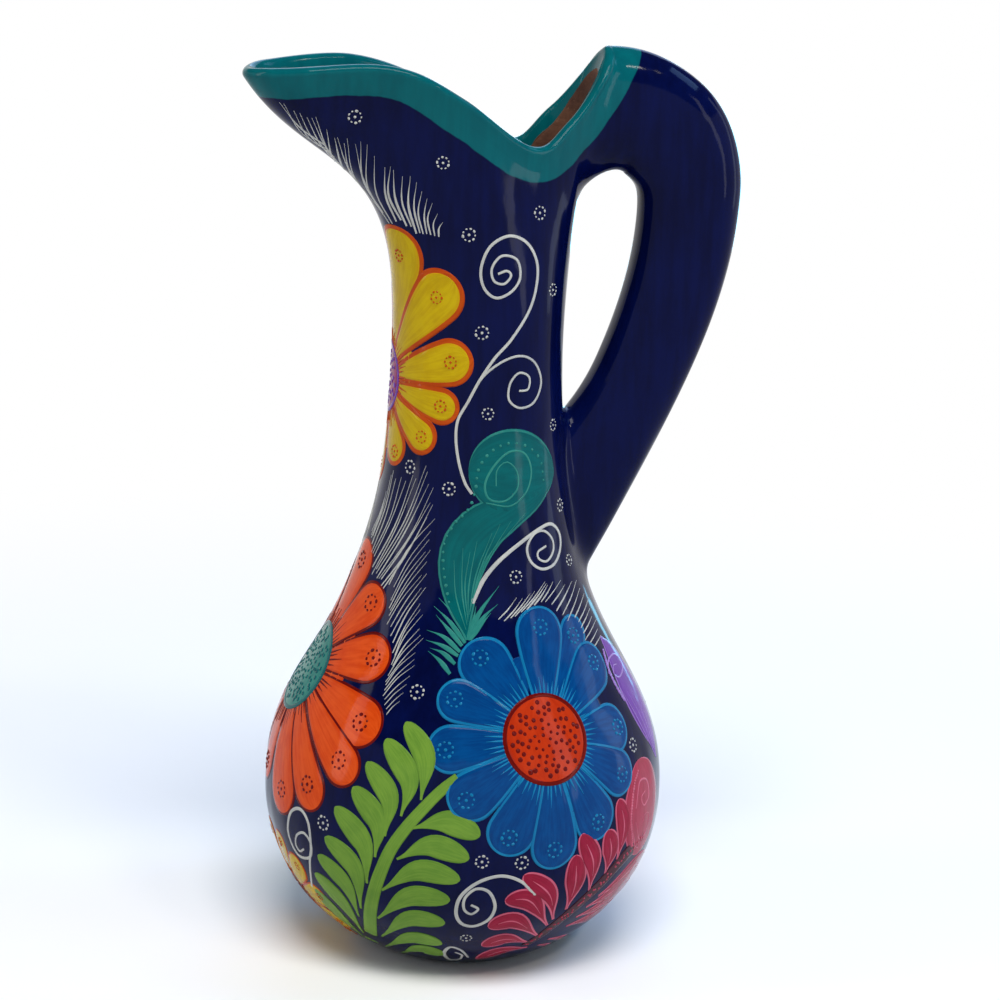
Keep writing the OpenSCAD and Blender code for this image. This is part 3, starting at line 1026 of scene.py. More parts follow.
class Paint(Enum):
    """The painter's pots."""

    WHITE = Pigment("white_paint", (0.50, 0.50, 0.46), (0.35, 0.36, 0.36), (0.28, 0.29, 0.31))
    YELLOW = Pigment("yellow_paint", (0.50, 0.35, 0.003), (0.42, 0.27, 0.002), (0.46, 0.20, 0.002))
    FLAME = Pigment("orange_paint", (0.47, 0.07, 0.004), (0.38, 0.045, 0.003), (0.30, 0.026, 0.002))
    ORANGE = Pigment("orange_paint", (0.62, 0.074, 0.008), (0.54, 0.046, 0.003), (0.40, 0.022, 0.002))
    EMBER = Pigment("orange_paint", (0.46, 0.034, 0.006), (0.39, 0.023, 0.004), (0.30, 0.012, 0.002))
    WINE = Pigment("red_paint", (0.135, 0.004, 0.003), (0.10, 0.003, 0.002), (0.07, 0.002, 0.002))
    PLUM = Pigment("red_paint", (0.060, 0.012, 0.022), (0.040, 0.008, 0.016), (0.030, 0.006, 0.012))
    BLUE = Pigment("blue_paint", (0.001, 0.056, 0.205), (0.001, 0.037, 0.155), (0.001, 0.032, 0.135))
    SKY = Pigment("blue_paint", (0.008, 0.19, 0.38), (0.004, 0.14, 0.30), (0.003, 0.10, 0.25))
    TEAL = Pigment("teal_paint", (0.0012, 0.104, 0.108), (0.001, 0.078, 0.086), (0.001, 0.062, 0.070))
    MIST = Pigment("teal_paint", (0.030, 0.215, 0.175), (0.014, 0.160, 0.140), (0.006, 0.115, 0.112))
    GREEN = Pigment("green_paint", (0.15, 0.28, 0.036), (0.105, 0.22, 0.028), (0.062, 0.15, 0.020))
    PINK = Pigment("pink_paint", (0.30, 0.012, 0.042), (0.23, 0.008, 0.029), (0.16, 0.006, 0.020))
    ROSE = Pigment("pink_paint", (0.37, 0.034, 0.072), (0.30, 0.024, 0.053), (0.25, 0.018, 0.042))
    BLUSH = Pigment("pink_paint", (0.57, 0.12, 0.19), (0.47, 0.085, 0.145), (0.38, 0.062, 0.11))
    PURPLE = Pigment("purple_paint", (0.15, 0.042, 0.33), (0.115, 0.030, 0.26), (0.08, 0.022, 0.20))
    LILAC = Pigment("purple_paint", (0.32, 0.19, 0.52), (0.25, 0.14, 0.43), (0.20, 0.10, 0.36))
    MAGENTA = Pigment("pink_paint", (0.30, 0.016, 0.12), (0.23, 0.011, 0.088), (0.16, 0.007, 0.06))


# The skin as a sheet to paint on


@dataclass(frozen=True)
class Viewpoint:
    """The camera: where it stands, how it leans and how it frames the jug, in millimetres."""

    azimuth: float = -14.0
    elevation: float = 15.0
    distance: float = 1300.0
    roll: float = 2.1696
    shift: float = 11.339
    aim_z: float = 190.021
    focal_px: float = 3132.868
    frame_px: float = 1000.0
    sensor_mm: float = 36.0

    def axes(self) -> tuple[Array, Array, Array]:
        """The camera's right, up and forward directions."""
        a, e, r = (math.radians(angle) for angle in (self.azimuth, self.elevation, self.roll))
        back = np.array([math.sin(a) * math.cos(e), -math.cos(a) * math.cos(e), math.sin(e)])
        level = np.array([math.cos(a), math.sin(a), 0.0])
        rise = np.cross(level, -back)
        right = level * math.cos(r) + rise * math.sin(r)
        up = rise * math.cos(r) - level * math.sin(r)
        return right, up, -back

    def place(self) -> Array:
        """Where the camera stands."""
        a = math.radians(self.azimuth)
        level = np.array([math.cos(a), math.sin(a), 0.0])
        return np.array([0, 0, self.aim_z]) + level * self.shift - self.axes()[2] * self.distance

    def ray(self, x: float, y: float) -> Array:
        """The direction in which a place of the frame lies."""
        right, up, forward = self.axes()
        half = self.frame_px / 2
        return unit(forward * self.focal_px + right * (x - half) + up * (half - y))

    def build(self) -> None:
        """Makes the camera and hands it to the scene."""
        right, up, forward = self.axes()
        lens = bpy.data.cameras.new("camera")
        lens.sensor_width = self.sensor_mm
        lens.lens = self.focal_px * self.sensor_mm / self.frame_px
        camera = bpy.data.objects.new("camera", lens)
        turn = Matrix((right, up, -forward)).transposed().to_4x4()
        camera.matrix_world = Matrix.Translation(Vector(self.place() * MM)) @ turn
        bpy.context.scene.collection.objects.link(camera)
        bpy.context.scene.camera = camera


class Skin:
    """The jug's outer skin, for finding places on it."""

    def __init__(self, rows: Array, view: Viewpoint) -> None:
        """Builds a search tree over the rings.

        Args:
            rows: The outer rings in millimetres, from the foot up.
            view: The camera that drawings in the frame are seen through.
        """
        rings, columns = rows.shape[:2]
        self.view = view
        self.points = rows.reshape(-1, 3)
        self.faces = ring_faces(rings, columns)
        self.normals = ring_normals(rows).reshape(-1, 3)
        self.search = BVHTree.FromPolygons(self.points.tolist(), self.faces)

    def helper(self) -> Object:
        """A mesh of the skin for the trees to lay things on, not kept in the scene."""
        piece = mesh_object("skin helper", self.points, self.faces)
        set_vectors(piece, "skin_normal", self.normals)
        return piece

    def nearest(self, point: Sequence[float]) -> tuple[Array, Array]:
        """The skin's point and normal nearest to a point."""
        place, normal, _, _ = self.search.find_nearest(Vector(point))
        return np.array(place), np.array(normal)

    def seen(self, x: float, y: float) -> Array | None:
        """The skin's point at a place of the frame, or nothing beside the jug."""
        place = self.search.ray_cast(Vector(self.view.place()), Vector(self.view.ray(x, y)))[0]
        return None if place is None else np.array(place)

    def at(self, angle: float, height: float) -> Array:
        """The skin's point at an angle round the axis, in degrees, and a height."""
        turn = math.radians(angle)
        start = Vector((0.0, 0.0, height))
        return np.array(self.search.ray_cast(start, Vector((math.cos(turn), math.sin(turn), 0.0)))[0])


@dataclass
class FrontSheet:
    """A drawing in the frame's own places, thrown on to the skin from the camera, or mirrored behind it.

    Attributes:
        skin: The skin.
        behind: Whether the drawing goes to the far side, mirrored through the plane of the spout.
        turn: How far it is then turned round the axis, in degrees.
    """

    skin: Skin
    behind: bool = False
    turn: float = 0.0

    def lay(self, drawing: Array) -> Array:
        """Throws a drawing on to the skin.

        Args:
            drawing: Places of the frame.

        Returns:
            Points on the skin, without what falls beside it.
        """
        found = [self.skin.seen(x, y) for x, y in drawing]
        points = np.array([place for place in found if place is not None])
        if not self.behind or len(points) == 0:
            return points
        turn = math.radians(self.turn)
        cosine, sine = math.cos(turn), math.sin(turn)
        moved = (points * [1, -1, 1]) @ np.array([[cosine, sine, 0], [-sine, cosine, 0], [0, 0, 1]])
        return np.array([self.skin.nearest(place)[0] for place in moved])


class RoundSheet:
    """A drawing in millimetres round one point, rolled out over the skin along straight ways.

    Its x axis points to the right for someone who looks at the skin, and its y axis up.

    Attributes:
        rays: How many ways go out from the point.
        pace: Length of a step along them, in millimetres.
    """

    rays = 72
    pace = 1.5

    def __init__(self, skin: Skin, centre: Array, reach: float) -> None:
        """Walks over the skin from the centre in every direction.

        Args:
            skin: The skin.
            centre: The drawing's origin on the skin.
            reach: How far the drawing goes.
        """
        self.skin = skin
        self.steps = int(reach / self.pace) + 2
        start, normal = skin.nearest(centre)
        up = unit(np.array([0.0, 0.0, 1.0]) - normal * normal[2])
        right = np.cross(up, normal)
        self.grid = np.zeros((self.rays, self.steps, 3))
        for k in range(self.rays):
            turn = math.tau * k / self.rays
            place, way, facing = start, right * math.cos(turn) + up * math.sin(turn), normal
            for j in range(self.steps):
                self.grid[k, j] = place
                place, facing = skin.nearest(place + way * self.pace)
                way = unit(way - facing * np.dot(way, facing))

    def lay(self, drawing: Array) -> Array:
        """Rolls a drawing out over the skin.

        Args:
            drawing: Points in millimetres.

        Returns:
            Points on the skin.
        """
        just_inside = 1.001
        x, y = np.asarray(drawing, float).T
        j = np.minimum(np.hypot(x, y) / self.pace, self.steps - just_inside)
        k = np.mod(np.arctan2(y, x) / math.tau, 1.0) * self.rays
        j0, k0 = j.astype(int), k.astype(int) % self.rays
        k1 = (k0 + 1) % self.rays
        tj, tk = (j - j0)[:, None], (k - np.floor(k))[:, None]
        near = mix(self.grid[k0, j0], self.grid[k1, j0], tk)
        far = mix(self.grid[k0, j0 + 1], self.grid[k1, j0 + 1], tk)
        return mix(near, far, tj)

    def flat(self, point: Array) -> Pair:
        """Finds the way to a point of the skin.

        Args:
            point: The point.

        Returns:
            The way's length, and its direction in degrees.
        """
        tries = 21
        gaps = np.linalg.norm(self.grid - point, axis=2)
        k, j = np.unravel_index(np.argmin(gaps), gaps.shape)
        spread = np.linspace(-1, 1, tries)
        turns, lengths = np.meshgrid((k + spread) / self.rays * FULL_TURN, (j + spread) * self.pace)
        turns, lengths = turns.ravel(), np.maximum(lengths.ravel(), 0)
        a = np.radians(turns)
        tried = self.lay(np.stack([lengths * np.cos(a), lengths * np.sin(a)], axis=1))
        best = np.argmin(np.linalg.norm(tried - point, axis=1))
        return float(lengths[best]), float(turns[best])


Sheet = FrontSheet | RoundSheet


# Brush strokes and films of paint


@dataclass
class Stroke:
    """One stroke of the brush: points on the skin and half the stroke's width at each, in millimetres."""

    points: Array
    half: Array


@dataclass
class Film:
    """Strokes of one paint that make one piece.

    Attributes:
        name: The piece's name.
        paint: The pot.
        lift: How thick the paint stands, in millimetres.
        edge_points: Points round each stroke's section: more for broad strokes.
        strokes: The strokes.
    """

    name: str
    paint: Paint
    lift: float
    edge_points: int
    strokes: list[Stroke] = field(default_factory=list)

    def add(self, points: Array, half: Array) -> None:
        """Adds a stroke, unless too little of it lies on the skin."""
        if len(points) == len(half) and len(points) > 2:
            self.strokes.append(Stroke(points, np.asarray(half, float)))


@dataclass
class Dots:
    """Dots, or rings of dashes round a dot, of one paint that make one piece.

    Attributes:
        name: The piece's name.
        paint: The pot.
        lift: How thick the paint stands, in millimetres.
        dashes: How many dashes go round each ring; none leaves a plain dot.
        bold: How big the dashes are for the ring.
        places: Points on the skin.
        radii: The ring's radius at each point, or the dot's, in millimetres.
    """

    name: str
    paint: Paint
    lift: float
    dashes: int
    bold: float
    places: list[Array] = field(default_factory=list)
    radii: list[float] = field(default_factory=list)

    def add(self, place: Array | None, radius: float) -> None:
        """Adds one, unless its place is beside the skin."""
        if place is not None:
            self.places.append(place)
            self.radii.append(radius)


def swelling(count: int, width: float, start: float, end: float, fullest: float = 0.5) -> Array:
    """Half widths of a stroke that swells from start to its full width and thins to end.

    Args:
        count: Points along the stroke.
        width: Half width where it is fullest.
        start: Half width where it starts.
        end: Half width where it ends.
        fullest: The share of its length at which it is fullest.

    Returns:
        A half width for each point.
    """
    t = np.linspace(0, 1, count)
    rising = mix(start, width, smooth(t / fullest))
    falling = mix(width, end, smooth((t - fullest) / (1 - fullest)))
    return np.where(t < fullest, rising, falling)


def leaf_width(t: Array, width: float) -> Array:
    """Half widths along a leaflet: narrow at its foot, fullest past its middle, round at its tip.

    Args:
        t: Shares of its length.
        width: Half width where it is fullest.

    Returns:
        A half width for each share.
    """
    foot, fullest, blunt = 0.1, 0.6, 0.02
    rising = mix(foot, 1.0, smooth(t / fullest))
    dome = np.sqrt(np.maximum(1 - (np.maximum(t - fullest, 0) / (1 - fullest)) ** 2, 0))
    return width * rising * np.maximum(dome, blunt)


def round_shares(count: int) -> Array:
    """Places across a circle from -1 to 1, closer together towards its two ends."""
    short = 0.08
    return -np.cos(np.linspace(short, math.pi - short, count))


class Painting:
    """The painted ornament: gathers the films and dots, then makes a piece of each."""

    def __init__(self, skin: Skin) -> None:
        """Keeps the skin and starts with no paint.

        Args:
            skin: The skin that is painted.
        """
        self.skin = skin
        self.films: list[Film] = []
        self.dots: list[Dots] = []
        self.random = random.Random(SEED)

    def film(self, name: str, paint: Paint, lift: float, edge_points: int) -> Film:
        """Starts a film."""
        self.films.append(Film(name, paint, lift, edge_points))
        return self.films[-1]

    def dotted(self, name: str, paint: Paint, lift: float, dashes: int = 0, bold: float = 1.0) -> Dots:
        """Starts a set of dots."""
        self.dots.append(Dots(name, paint, lift, dashes, bold))
        return self.dots[-1]

    def build(self) -> list[Object]:
        """Makes every piece.

        Returns:
            The painted pieces.
        """
        helper = self.skin.helper()
        film_tree, dot_tree = FilmTree(), DotTree()
        finishes = {paint: paint.value.material(paint.name.lower()) for paint in Paint}
        pieces = []
        for film in self.films:
            if film.strokes:
                pieces.append(self._brushed(film, film_tree, helper, finishes[film.paint]))
        for dots in self.dots:
            if dots.places:
                pieces.append(self._dabbed(dots, dot_tree, helper, finishes[dots.paint]))
        bpy.data.objects.remove(helper)
        return pieces

    def _brushed(self, film: Film, tree: FilmTree, helper: Object,
                 finish: Material) -> Object:
        """Makes one film: its strokes as lines, swept by the tree.

        Args:
            film: The film.
            tree: The tree that sweeps it.
            helper: The skin that it is laid on.
            finish: Its paint.

        Returns:
            The piece.
        """
        apart = 10
        points = np.vstack([stroke.points for stroke in film.strokes])
        counts = [len(stroke.points) for stroke in film.strokes]
        starts = np.concatenate([[0], np.cumsum(counts)])
        edges = [(k, k + 1) for s, n in zip(starts, counts) for k in range(s, s + n - 1)]
        piece = mesh_object(film.name, points, edges=edges)
        set_floats(piece, "half_width", np.concatenate([stroke.half for stroke in film.strokes]) * MM)
        set_floats(piece, "along", np.concatenate([np.linspace(0, 1, n) for n in counts]))
        set_floats(piece, "stroke_id", np.repeat([self.random.random() * apart for _ in counts], counts))
        tree.bake(piece, {"Skin": helper, "Finish": finish, "Lift": film.lift * MM,
                          "Edge Points": film.edge_points})
        return self._ridden(piece)

    def _dabbed(self, dots: Dots, tree: DotTree, helper: Object,
                finish: Material) -> Object:
        """Makes one set of dots.

        Args:
            dots: The dots.
            tree: The tree that sets them.
            helper: The skin that they are laid on.
            finish: Their paint.

        Returns:
            The piece.
        """
        length, width, middle = (share * dots.bold for share in (0.25, 0.19, 0.24))
        piece = mesh_object(dots.name, np.array(dots.places))
        set_floats(piece, "dot_radius", np.array(dots.radii) * MM)
        tree.bake(piece, {"Skin": helper, "Finish": finish, "Lift": dots.lift * MM, "Dashes": dots.dashes,
                          "Dash Length": length, "Dash Width": width,
                          "Dot Size": middle if dots.dashes else 1.0, "Seed": SEED})
        return self._ridden(piece)

    def _ridden(self, piece: Object) -> Object:
        """Sets a painted piece on the jug's body.

        Args:
            piece: The piece.

        Returns:
            The same piece.
        """
        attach(piece, BODY)
        LOG.info("%s: %d faces", piece.name, len(piece.data.polygons))
        return piece


# Motifs


@dataclass
class Daisy:
    """A flower with a dotted heart, outlined petals, fine lashes round the heart and an eye on each petal.

    Attributes:
        name: What the pieces are called.
        petal: Paint of the petals.
        outline: Paint of the petals' outlines.
        heart: Paint of the heart.
        ring: Paint of the ring round the heart and of the dots on it.
        lash: Paint of the lashes and the eyes.
        heart_r: Radius of the heart in millimetres.
        length: Length of a petal from the flower's centre.
        count: How many petals go round.
        start: Direction of the first petal in degrees.
        tips: Places of the frame where petals end, for those that are seen.
        outline_w: Width of the outline.
        dots: How many dots the heart has.
    """

    name: str
    petal: Paint
    outline: Paint
    heart: Paint
    ring: Paint
    lash: Paint
    heart_r: float
    length: float
    count: int = 12
    start: float = 0.0
    tips: Pairs = ()
    outline_w: float = 1.0
    dots: int = 78

    ranks = ((" under", 0.1), (" over", 0.22))
    petal_rise = 0.06
    petal_edge = 20
    ground_share = 0.5
    eye_share = 0.76
    eye_r = 0.17
    sheet_room = 1.6

    def paint_on(self, painting: Painting, centre: Array) -> None:
        """Paints the flower round a point of the skin.

        Args:
            painting: Where its films go.
            centre: The middle of the heart.
        """
        sheet = RoundSheet(painting.skin, centre, self.length * self.sheet_room)
        edge, rise = self.petal_edge, self.petal_rise
        layers = [(painting.film(self.name + rank + " petal outlines", self.outline, lift, edge),
                   painting.film(self.name + rank + " petals", self.petal, lift + rise, edge))
                  for rank, lift in self.ranks]
        eyes = painting.dotted(self.name + " petal eyes", self.lash, lift=0.5, dashes=9, bold=1.1)
        ground_r = mix(self.heart_r, self.length, self.ground_share)
        self._disc(painting, sheet, " ground", self.petal, ground_r, lift=0.09)
        for k, (length, turn, spread) in enumerate(self._petals(painting, sheet)):
            outline, fill = layers[k % len(layers)]
            self._petal(sheet, outline, length, turn, spread, inset=0.0)
            self._petal(sheet, fill, length, turn, spread, inset=self.outline_w)
            eye = self._way(sheet, np.array([mix(self.heart_r, length, self.eye_share)]), turn)
            eyes.add(eye[0], self.eye_r * self.heart_r)
        self._lashes(painting, sheet)
        self._heart(painting, sheet)

    def _disc(self, painting: Painting, sheet: RoundSheet, name: str, paint: Paint, radius: float,
              lift: float) -> None:
        """Adds a round film in the flower's middle.

        Args:
            painting: Where the film goes.
            sheet: The flower's sheet.
            name: What follows the flower's name.
            paint: The pot.
            radius: The film's radius.
            lift: How thick it stands.
        """
        film = painting.film(self.name + name, paint, lift, edge_points=24)
        t = round_shares(count=34)
        line = np.stack([0 * t, t * radius], axis=1)
        film.add(sheet.lay(line), np.sqrt(1 - t * t) * radius)

    def _petals(self, painting: Painting, sheet: RoundSheet) -> list[Triple]:
        """Places the petals: those that are seen by their tips, the others in the gaps between.

        Args:
            painting: The painting, with its skin.
            sheet: The flower's sheet.

        Returns:
            Length, direction and half spread, in degrees, of each petal.
        """
        least, most, stray = 0.95, 1.04, 2
        roomy, widest = 0.62, 1.4
        ways = []
        for x, y in self.tips:
            place = painting.skin.seen(x, y)
            if place is not None:
                ways.append(sheet.flat(place))
        step = FULL_TURN / self.count
        if not ways:
            ways = [(self.length * painting.random.uniform(least, most),
                     self.start + k * step + painting.random.uniform(-stray, stray))
                    for k in range(self.count)]
        ways = sorted([(length, turn % FULL_TURN) for length, turn in ways], key=lambda way: way[1])
        filled = list(ways)
        for (_, here), (_, there) in zip(ways, ways[1:] + [(0, ways[0][1] + FULL_TURN)]):
            missing = round((there - here) / step) - 1
            filled += [(self.length, (here + (there - here) * (k + 1) / (missing + 1)) % FULL_TURN)
                       for k in range(missing)]
        filled.sort(key=lambda way: way[1])
        turns = [turn for _, turn in filled]
        petals = []
        for k, (length, turn) in enumerate(filled):
            before = (turn - turns[k - 1]) % FULL_TURN
            after = (turns[(k + 1) % len(turns)] - turn) % FULL_TURN
            room = mix(min(before, after), max(before, after), roomy)
            petals.append((length, turn, min(room, step * widest) / 2))
        return petals

    def _way(self, sheet: RoundSheet, lengths: Array, turn: float) -> Array:
        """Points on the skin along one direction."""
        a = math.radians(turn)
        return sheet.lay(np.stack([lengths * math.cos(a), lengths * math.sin(a)], axis=1))

    def _petal(self, sheet: RoundSheet, film: Film, length: float, turn: float, spread: float,
               inset: float) -> None:
        """Adds one petal: a wedge that stops widening and ends in a round tip.

        Args:
            sheet: The flower's sheet.
            film: The film that it goes to.
            length: Its length from the flower's centre.
            turn: Its direction in degrees.
            spread: Half its spread in degrees.
            inset: How far it is set in from its outline.
        """
        count, bend, overlap = 30, 6, 1.05
        widest_at, round_share, finest = 0.72, 0.6, 0.06
        slope = math.tan(math.radians(spread)) * overlap
        start, end = self.heart_r, length - inset
        lengths = mix(start, end, np.sin(np.linspace(0, math.pi / 2, count)))
        widest = mix(start, length, widest_at) * slope
        wedge = lengths * slope
        side = wedge * widest / (wedge ** bend + widest ** bend) ** (1 / bend)
        round_from = length - min(widest, (length - start) * round_share)
        tip = np.maximum(lengths - round_from, 0) / (end - round_from)
        half = (side - inset) * np.sqrt(np.maximum(1 - tip * tip, 0))
        film.add(self._way(sheet, lengths, turn), np.maximum(half, finest))

    def _lashes(self, painting: Painting, sheet: RoundSheet) -> None:
        """Adds the fine strokes that stand round the heart.

        Args:
            painting: Where the film goes.
            sheet: The flower's sheet.
        """
        count, steps, stray = 66, 5, 1.2
        shortest, longest, full_heart = 4.5, 10.0, 18
        film = painting.film(self.name + " lashes", self.lash, lift=0.33, edge_points=10)
        half = swelling(steps, width=0.42, start=0.34, end=0.06, fullest=0.3)
        for k in range(count):
            reach = self.heart_r + painting.random.uniform(shortest, longest) * self.heart_r / full_heart
            turn = k * FULL_TURN / count + painting.random.uniform(-stray, stray)
            film.add(self._way(sheet, np.linspace(self.heart_r, reach, steps), turn), half)

    def _heart(self, painting: Painting, sheet: RoundSheet) -> None:
        """Adds the heart, the ring round it and the heart's dots.

        Args:
            painting: Where the films go.
            sheet: The flower's sheet.
        """
        overlap, ring_points, ring_half = 0.3, 73, 0.95
        first, margin, stray = 0.6, 2.4, 0.12
        inner_dot, outer_dot, least, most = 0.9, 1.3, 0.85, 1.15
        self._disc(painting, sheet, " heart", self.heart, self.heart_r + overlap, lift=0.36)
        turns = np.linspace(0, math.tau, ring_points)
        ring = np.stack([np.cos(turns), np.sin(turns)], axis=1) * self.heart_r
        film = painting.film(self.name + " heart ring", self.ring, lift=0.48, edge_points=12)
        film.add(sheet.lay(ring), np.full(ring_points, ring_half))
        dots = painting.dotted(self.name + " heart dots", self.ring, lift=0.58)
        golden = math.pi * (3 - math.sqrt(5))
        for k in range(self.dots):
            share = math.sqrt((k + first) / self.dots)
            radius = share * (self.heart_r - margin)
            turn = k * golden + painting.random.uniform(-stray, stray)
            place = sheet.lay(np.array([[radius * math.cos(turn), radius * math.sin(turn)]]))[0]
            size = mix(inner_dot, outer_dot, share * share)
            dots.add(place, size * painting.random.uniform(least, most))


@dataclass
class Fern:
    """A stem with leaflets on both sides, in a sheet's own places.

    Attributes:
        name: What the pieces are called.
        paint: Paint of the leaflets.
        stem: The stem's line, from its foot.
        leaflets: The foot, the middle and the tip of each leaflet.
        stem_half: Half widths of the stem at its foot and its tip, in millimetres.
        leaf_half: Half width of a leaflet.
        stem_paint: Paint of the stem.
        rib: Paint of the leaflets' ribs and outlines, where they have them.
    """

    name: str
    paint: Paint
    stem: Pairs
    leaflets: Sequence[Pairs]
    stem_half: Pair = (3.2, 2.2)
    leaf_half: float = 5.2
    stem_paint: Paint | None = None
    rib: Paint | None = None

    def paint_on(self, painting: Painting, sheet: Sheet) -> None:
        """Paints the fern on a sheet.

        Args:
            painting: Where its films go.
            sheet: The sheet.
        """
        steps, fine_steps, least, most = 26, 200, 0.92, 1.06
        outline_rise, outline_w, finest, bare_foot, bare_tip = 0.1, 0.75, 0.05, 4, 10
        stem = painting.film(self.name + " stem", self.stem_paint or self.paint, lift=0.2, edge_points=14)
        line = sheet.lay(flowing(self.stem, steps))
        stem.add(line, np.linspace(*self.stem_half, len(line)))
        leaves = painting.film(self.name + " leaflets", self.paint, lift=0.22, edge_points=18)
        if self.rib:
            rim = painting.film(self.name + " leaflet outlines", self.rib, lift=0.15, edge_points=18)
            ribs = painting.film(self.name + " leaflet ribs", self.rib, lift=0.3, edge_points=8)
        t = np.sin(np.linspace(0, math.pi / 2, steps))
        for leaflet in self.leaflets:
            line = sheet.lay(flowing(leaflet, fine_steps)[np.rint(t * (fine_steps - 1)).astype(int)])
            half = leaf_width(t[: len(line)], self.leaf_half * painting.random.uniform(least, most))
            if self.rib:
                rim.add(line, half + outline_rise)
                half = np.maximum(half - outline_w, finest)
                rib = line[bare_foot:-bare_tip]
                ribs.add(rib, swelling(len(rib), width=0.45, start=0.1, end=0.1))
            leaves.add(line, half)


@dataclass
class Scroll:
    """A white line that ends in a curl, in a sheet's own places.

    Attributes:
        line: The line, from its outer end.
        half: Half widths at its outer end, in its middle and at its curl, in millimetres.
    """

    line: Pairs
    half: Triple

    def paint_on(self, film: Film, sheet: Sheet) -> None:
        """Adds the line to a film.

        Args:
            film: The film.
            sheet: The sheet.
        """
        fine = 12
        line = sheet.lay(flowing(self.line, fine * len(self.line)))
        ends_and_middle = np.linspace(0, 1, len(self.half))
        film.add(line, np.interp(np.linspace(0, 1, len(line)), ends_and_middle, self.half))


@dataclass
class Feathers:
    """A fan of fine strokes between two lines, in a sheet's own places.

    Attributes:
        feet: The line that the strokes start from.
        tips: The line that they end at.
        count: How many strokes.
        bow: How far a stroke bows sideways, as a share of its length.
        half: Half a stroke's width in millimetres.
    """

    feet: Pairs
    tips: Pairs
    count: int
    bow: float
    half: float

    foot_stray = (-0.05, 0.08)
    tip_stray = (-0.14, 0.1)
    bow_stray = (0.6, 1.4)
    widths = (0.8, 1.0, 1.0, 1.1, 1.5)
    steps = 12

    def paint_on(self, painting: Painting, film: Film, sheet: Sheet) -> None:
        """Adds the strokes to a film, each a little different.

        Args:
            painting: The painting, for its chance.
            film: The film.
            sheet: The sheet.
        """
        foot_share = 0.7
        for ends in flowing(np.hstack([self.feet, self.tips]), self.count):
            foot, tip = ends[:2], ends[2:]
            foot = foot + (tip - foot) * painting.random.uniform(*self.foot_stray)
            tip = tip + (tip - foot) * painting.random.uniform(*self.tip_stray)
            side = np.array([foot[1] - tip[1], tip[0] - foot[0]])
            middle = (foot + tip) / 2 + side * self.bow * painting.random.uniform(*self.bow_stray)
            line = sheet.lay(flowing([foot, middle, tip], self.steps))
            half = self.half * painting.random.choice(self.widths)
            film.add(line, swelling(len(line), half, half * foot_share, end=0.06, fullest=0.3))


@dataclass
class LobedLeaf:
    """A leaf of broad lobes: filled, outlined, dotted and veined, in a sheet's own places.

    Attributes:
        name: What the pieces are called.
        paint: Paint of the leaf.
        line_paint: Paint of its outline, dots and veins.
        lobes: The spine of each lobe, with its half widths along the spine in millimetres.
        spiral: The line of the curl drawn on it.
        veins: Other lines drawn on it.
        edge_dots: The line that its dots follow.
        curl: Middle of a round curl at its tip, and its radius in the sheet's units and in millimetres.
        round_ends: Whether its lobes end round and not in a point.
    """

    name: str
    paint: Paint
    line_paint: Paint
    lobes: Sequence[tuple[Pairs, Sequence[float]]]
    spiral: Pairs
    veins: Sequence[Pairs]
    edge_dots: Pairs
    curl: tuple[float, float, float, float] | None = None
    round_ends: bool = False

    def paint_on(self, painting: Painting, sheet: Sheet) -> None:
        """Paints the leaf on a sheet.

        Args:
            painting: Where its films go.
            sheet: The sheet.
        """
        outline_w, finest, dot_r, least, most = 0.75, 0.05, 0.75, 0.7, 1.2
        outline = painting.film(self.name + " outline", self.line_paint, lift=0.12, edge_points=24)
        fill = painting.film(self.name, self.paint, lift=0.2, edge_points=24)
        for spine, half in self._ribbons():
            line = sheet.lay(spine)
            outline.add(line, half)
            fill.add(line, np.maximum(half - outline_w, finest))
        lines = painting.film(self.name + " veins", self.line_paint, lift=0.28, edge_points=8)
        turn = sheet.lay(flowing(self.spiral, count=70))
        lines.add(turn, swelling(len(turn), width=0.6, start=0.35, end=0.3))
        for vein in self.veins:
            line = sheet.lay(flowing(vein, count=20))
            lines.add(line, swelling(len(line), width=0.36, start=0.12, end=0.08, fullest=0.35))
        dots = painting.dotted(self.name + " dots", self.line_paint, lift=0.4)
        for place in sheet.lay(flowing(self.edge_dots, count=30)):
            dots.add(place, dot_r * painting.random.uniform(least, most))

    def _ribbons(self) -> list[tuple[Array, Array]]:
        """The spine and the half widths of each lobe, and of the curl."""
        steps, fine, finest = 32, 300, 0.01
        power = 2 if self.round_ends else 1
        ribbons = []
        for spine, widths in self.lobes:
            t = (1 - np.cos(np.linspace(0, math.pi, steps))) / 2
            half = flowing([(width ** power, k) for k, width in enumerate(widths)], fine)
            half = np.interp(t * (len(widths) - 1), half[:, 1], half[:, 0])
            line = flowing(spine, fine)[np.rint(t * (fine - 1)).astype(int)]
            ribbons.append((line, np.maximum(half, finest) ** (1 / power)))
        if self.curl:
            x, y, radius, radius_mm = self.curl
            t = round_shares(steps)
            ribbons.append((np.stack([x + t * radius, y + 0 * t], axis=1), np.sqrt(1 - t * t) * radius_mm))
        return ribbons


# The jug's own ornament


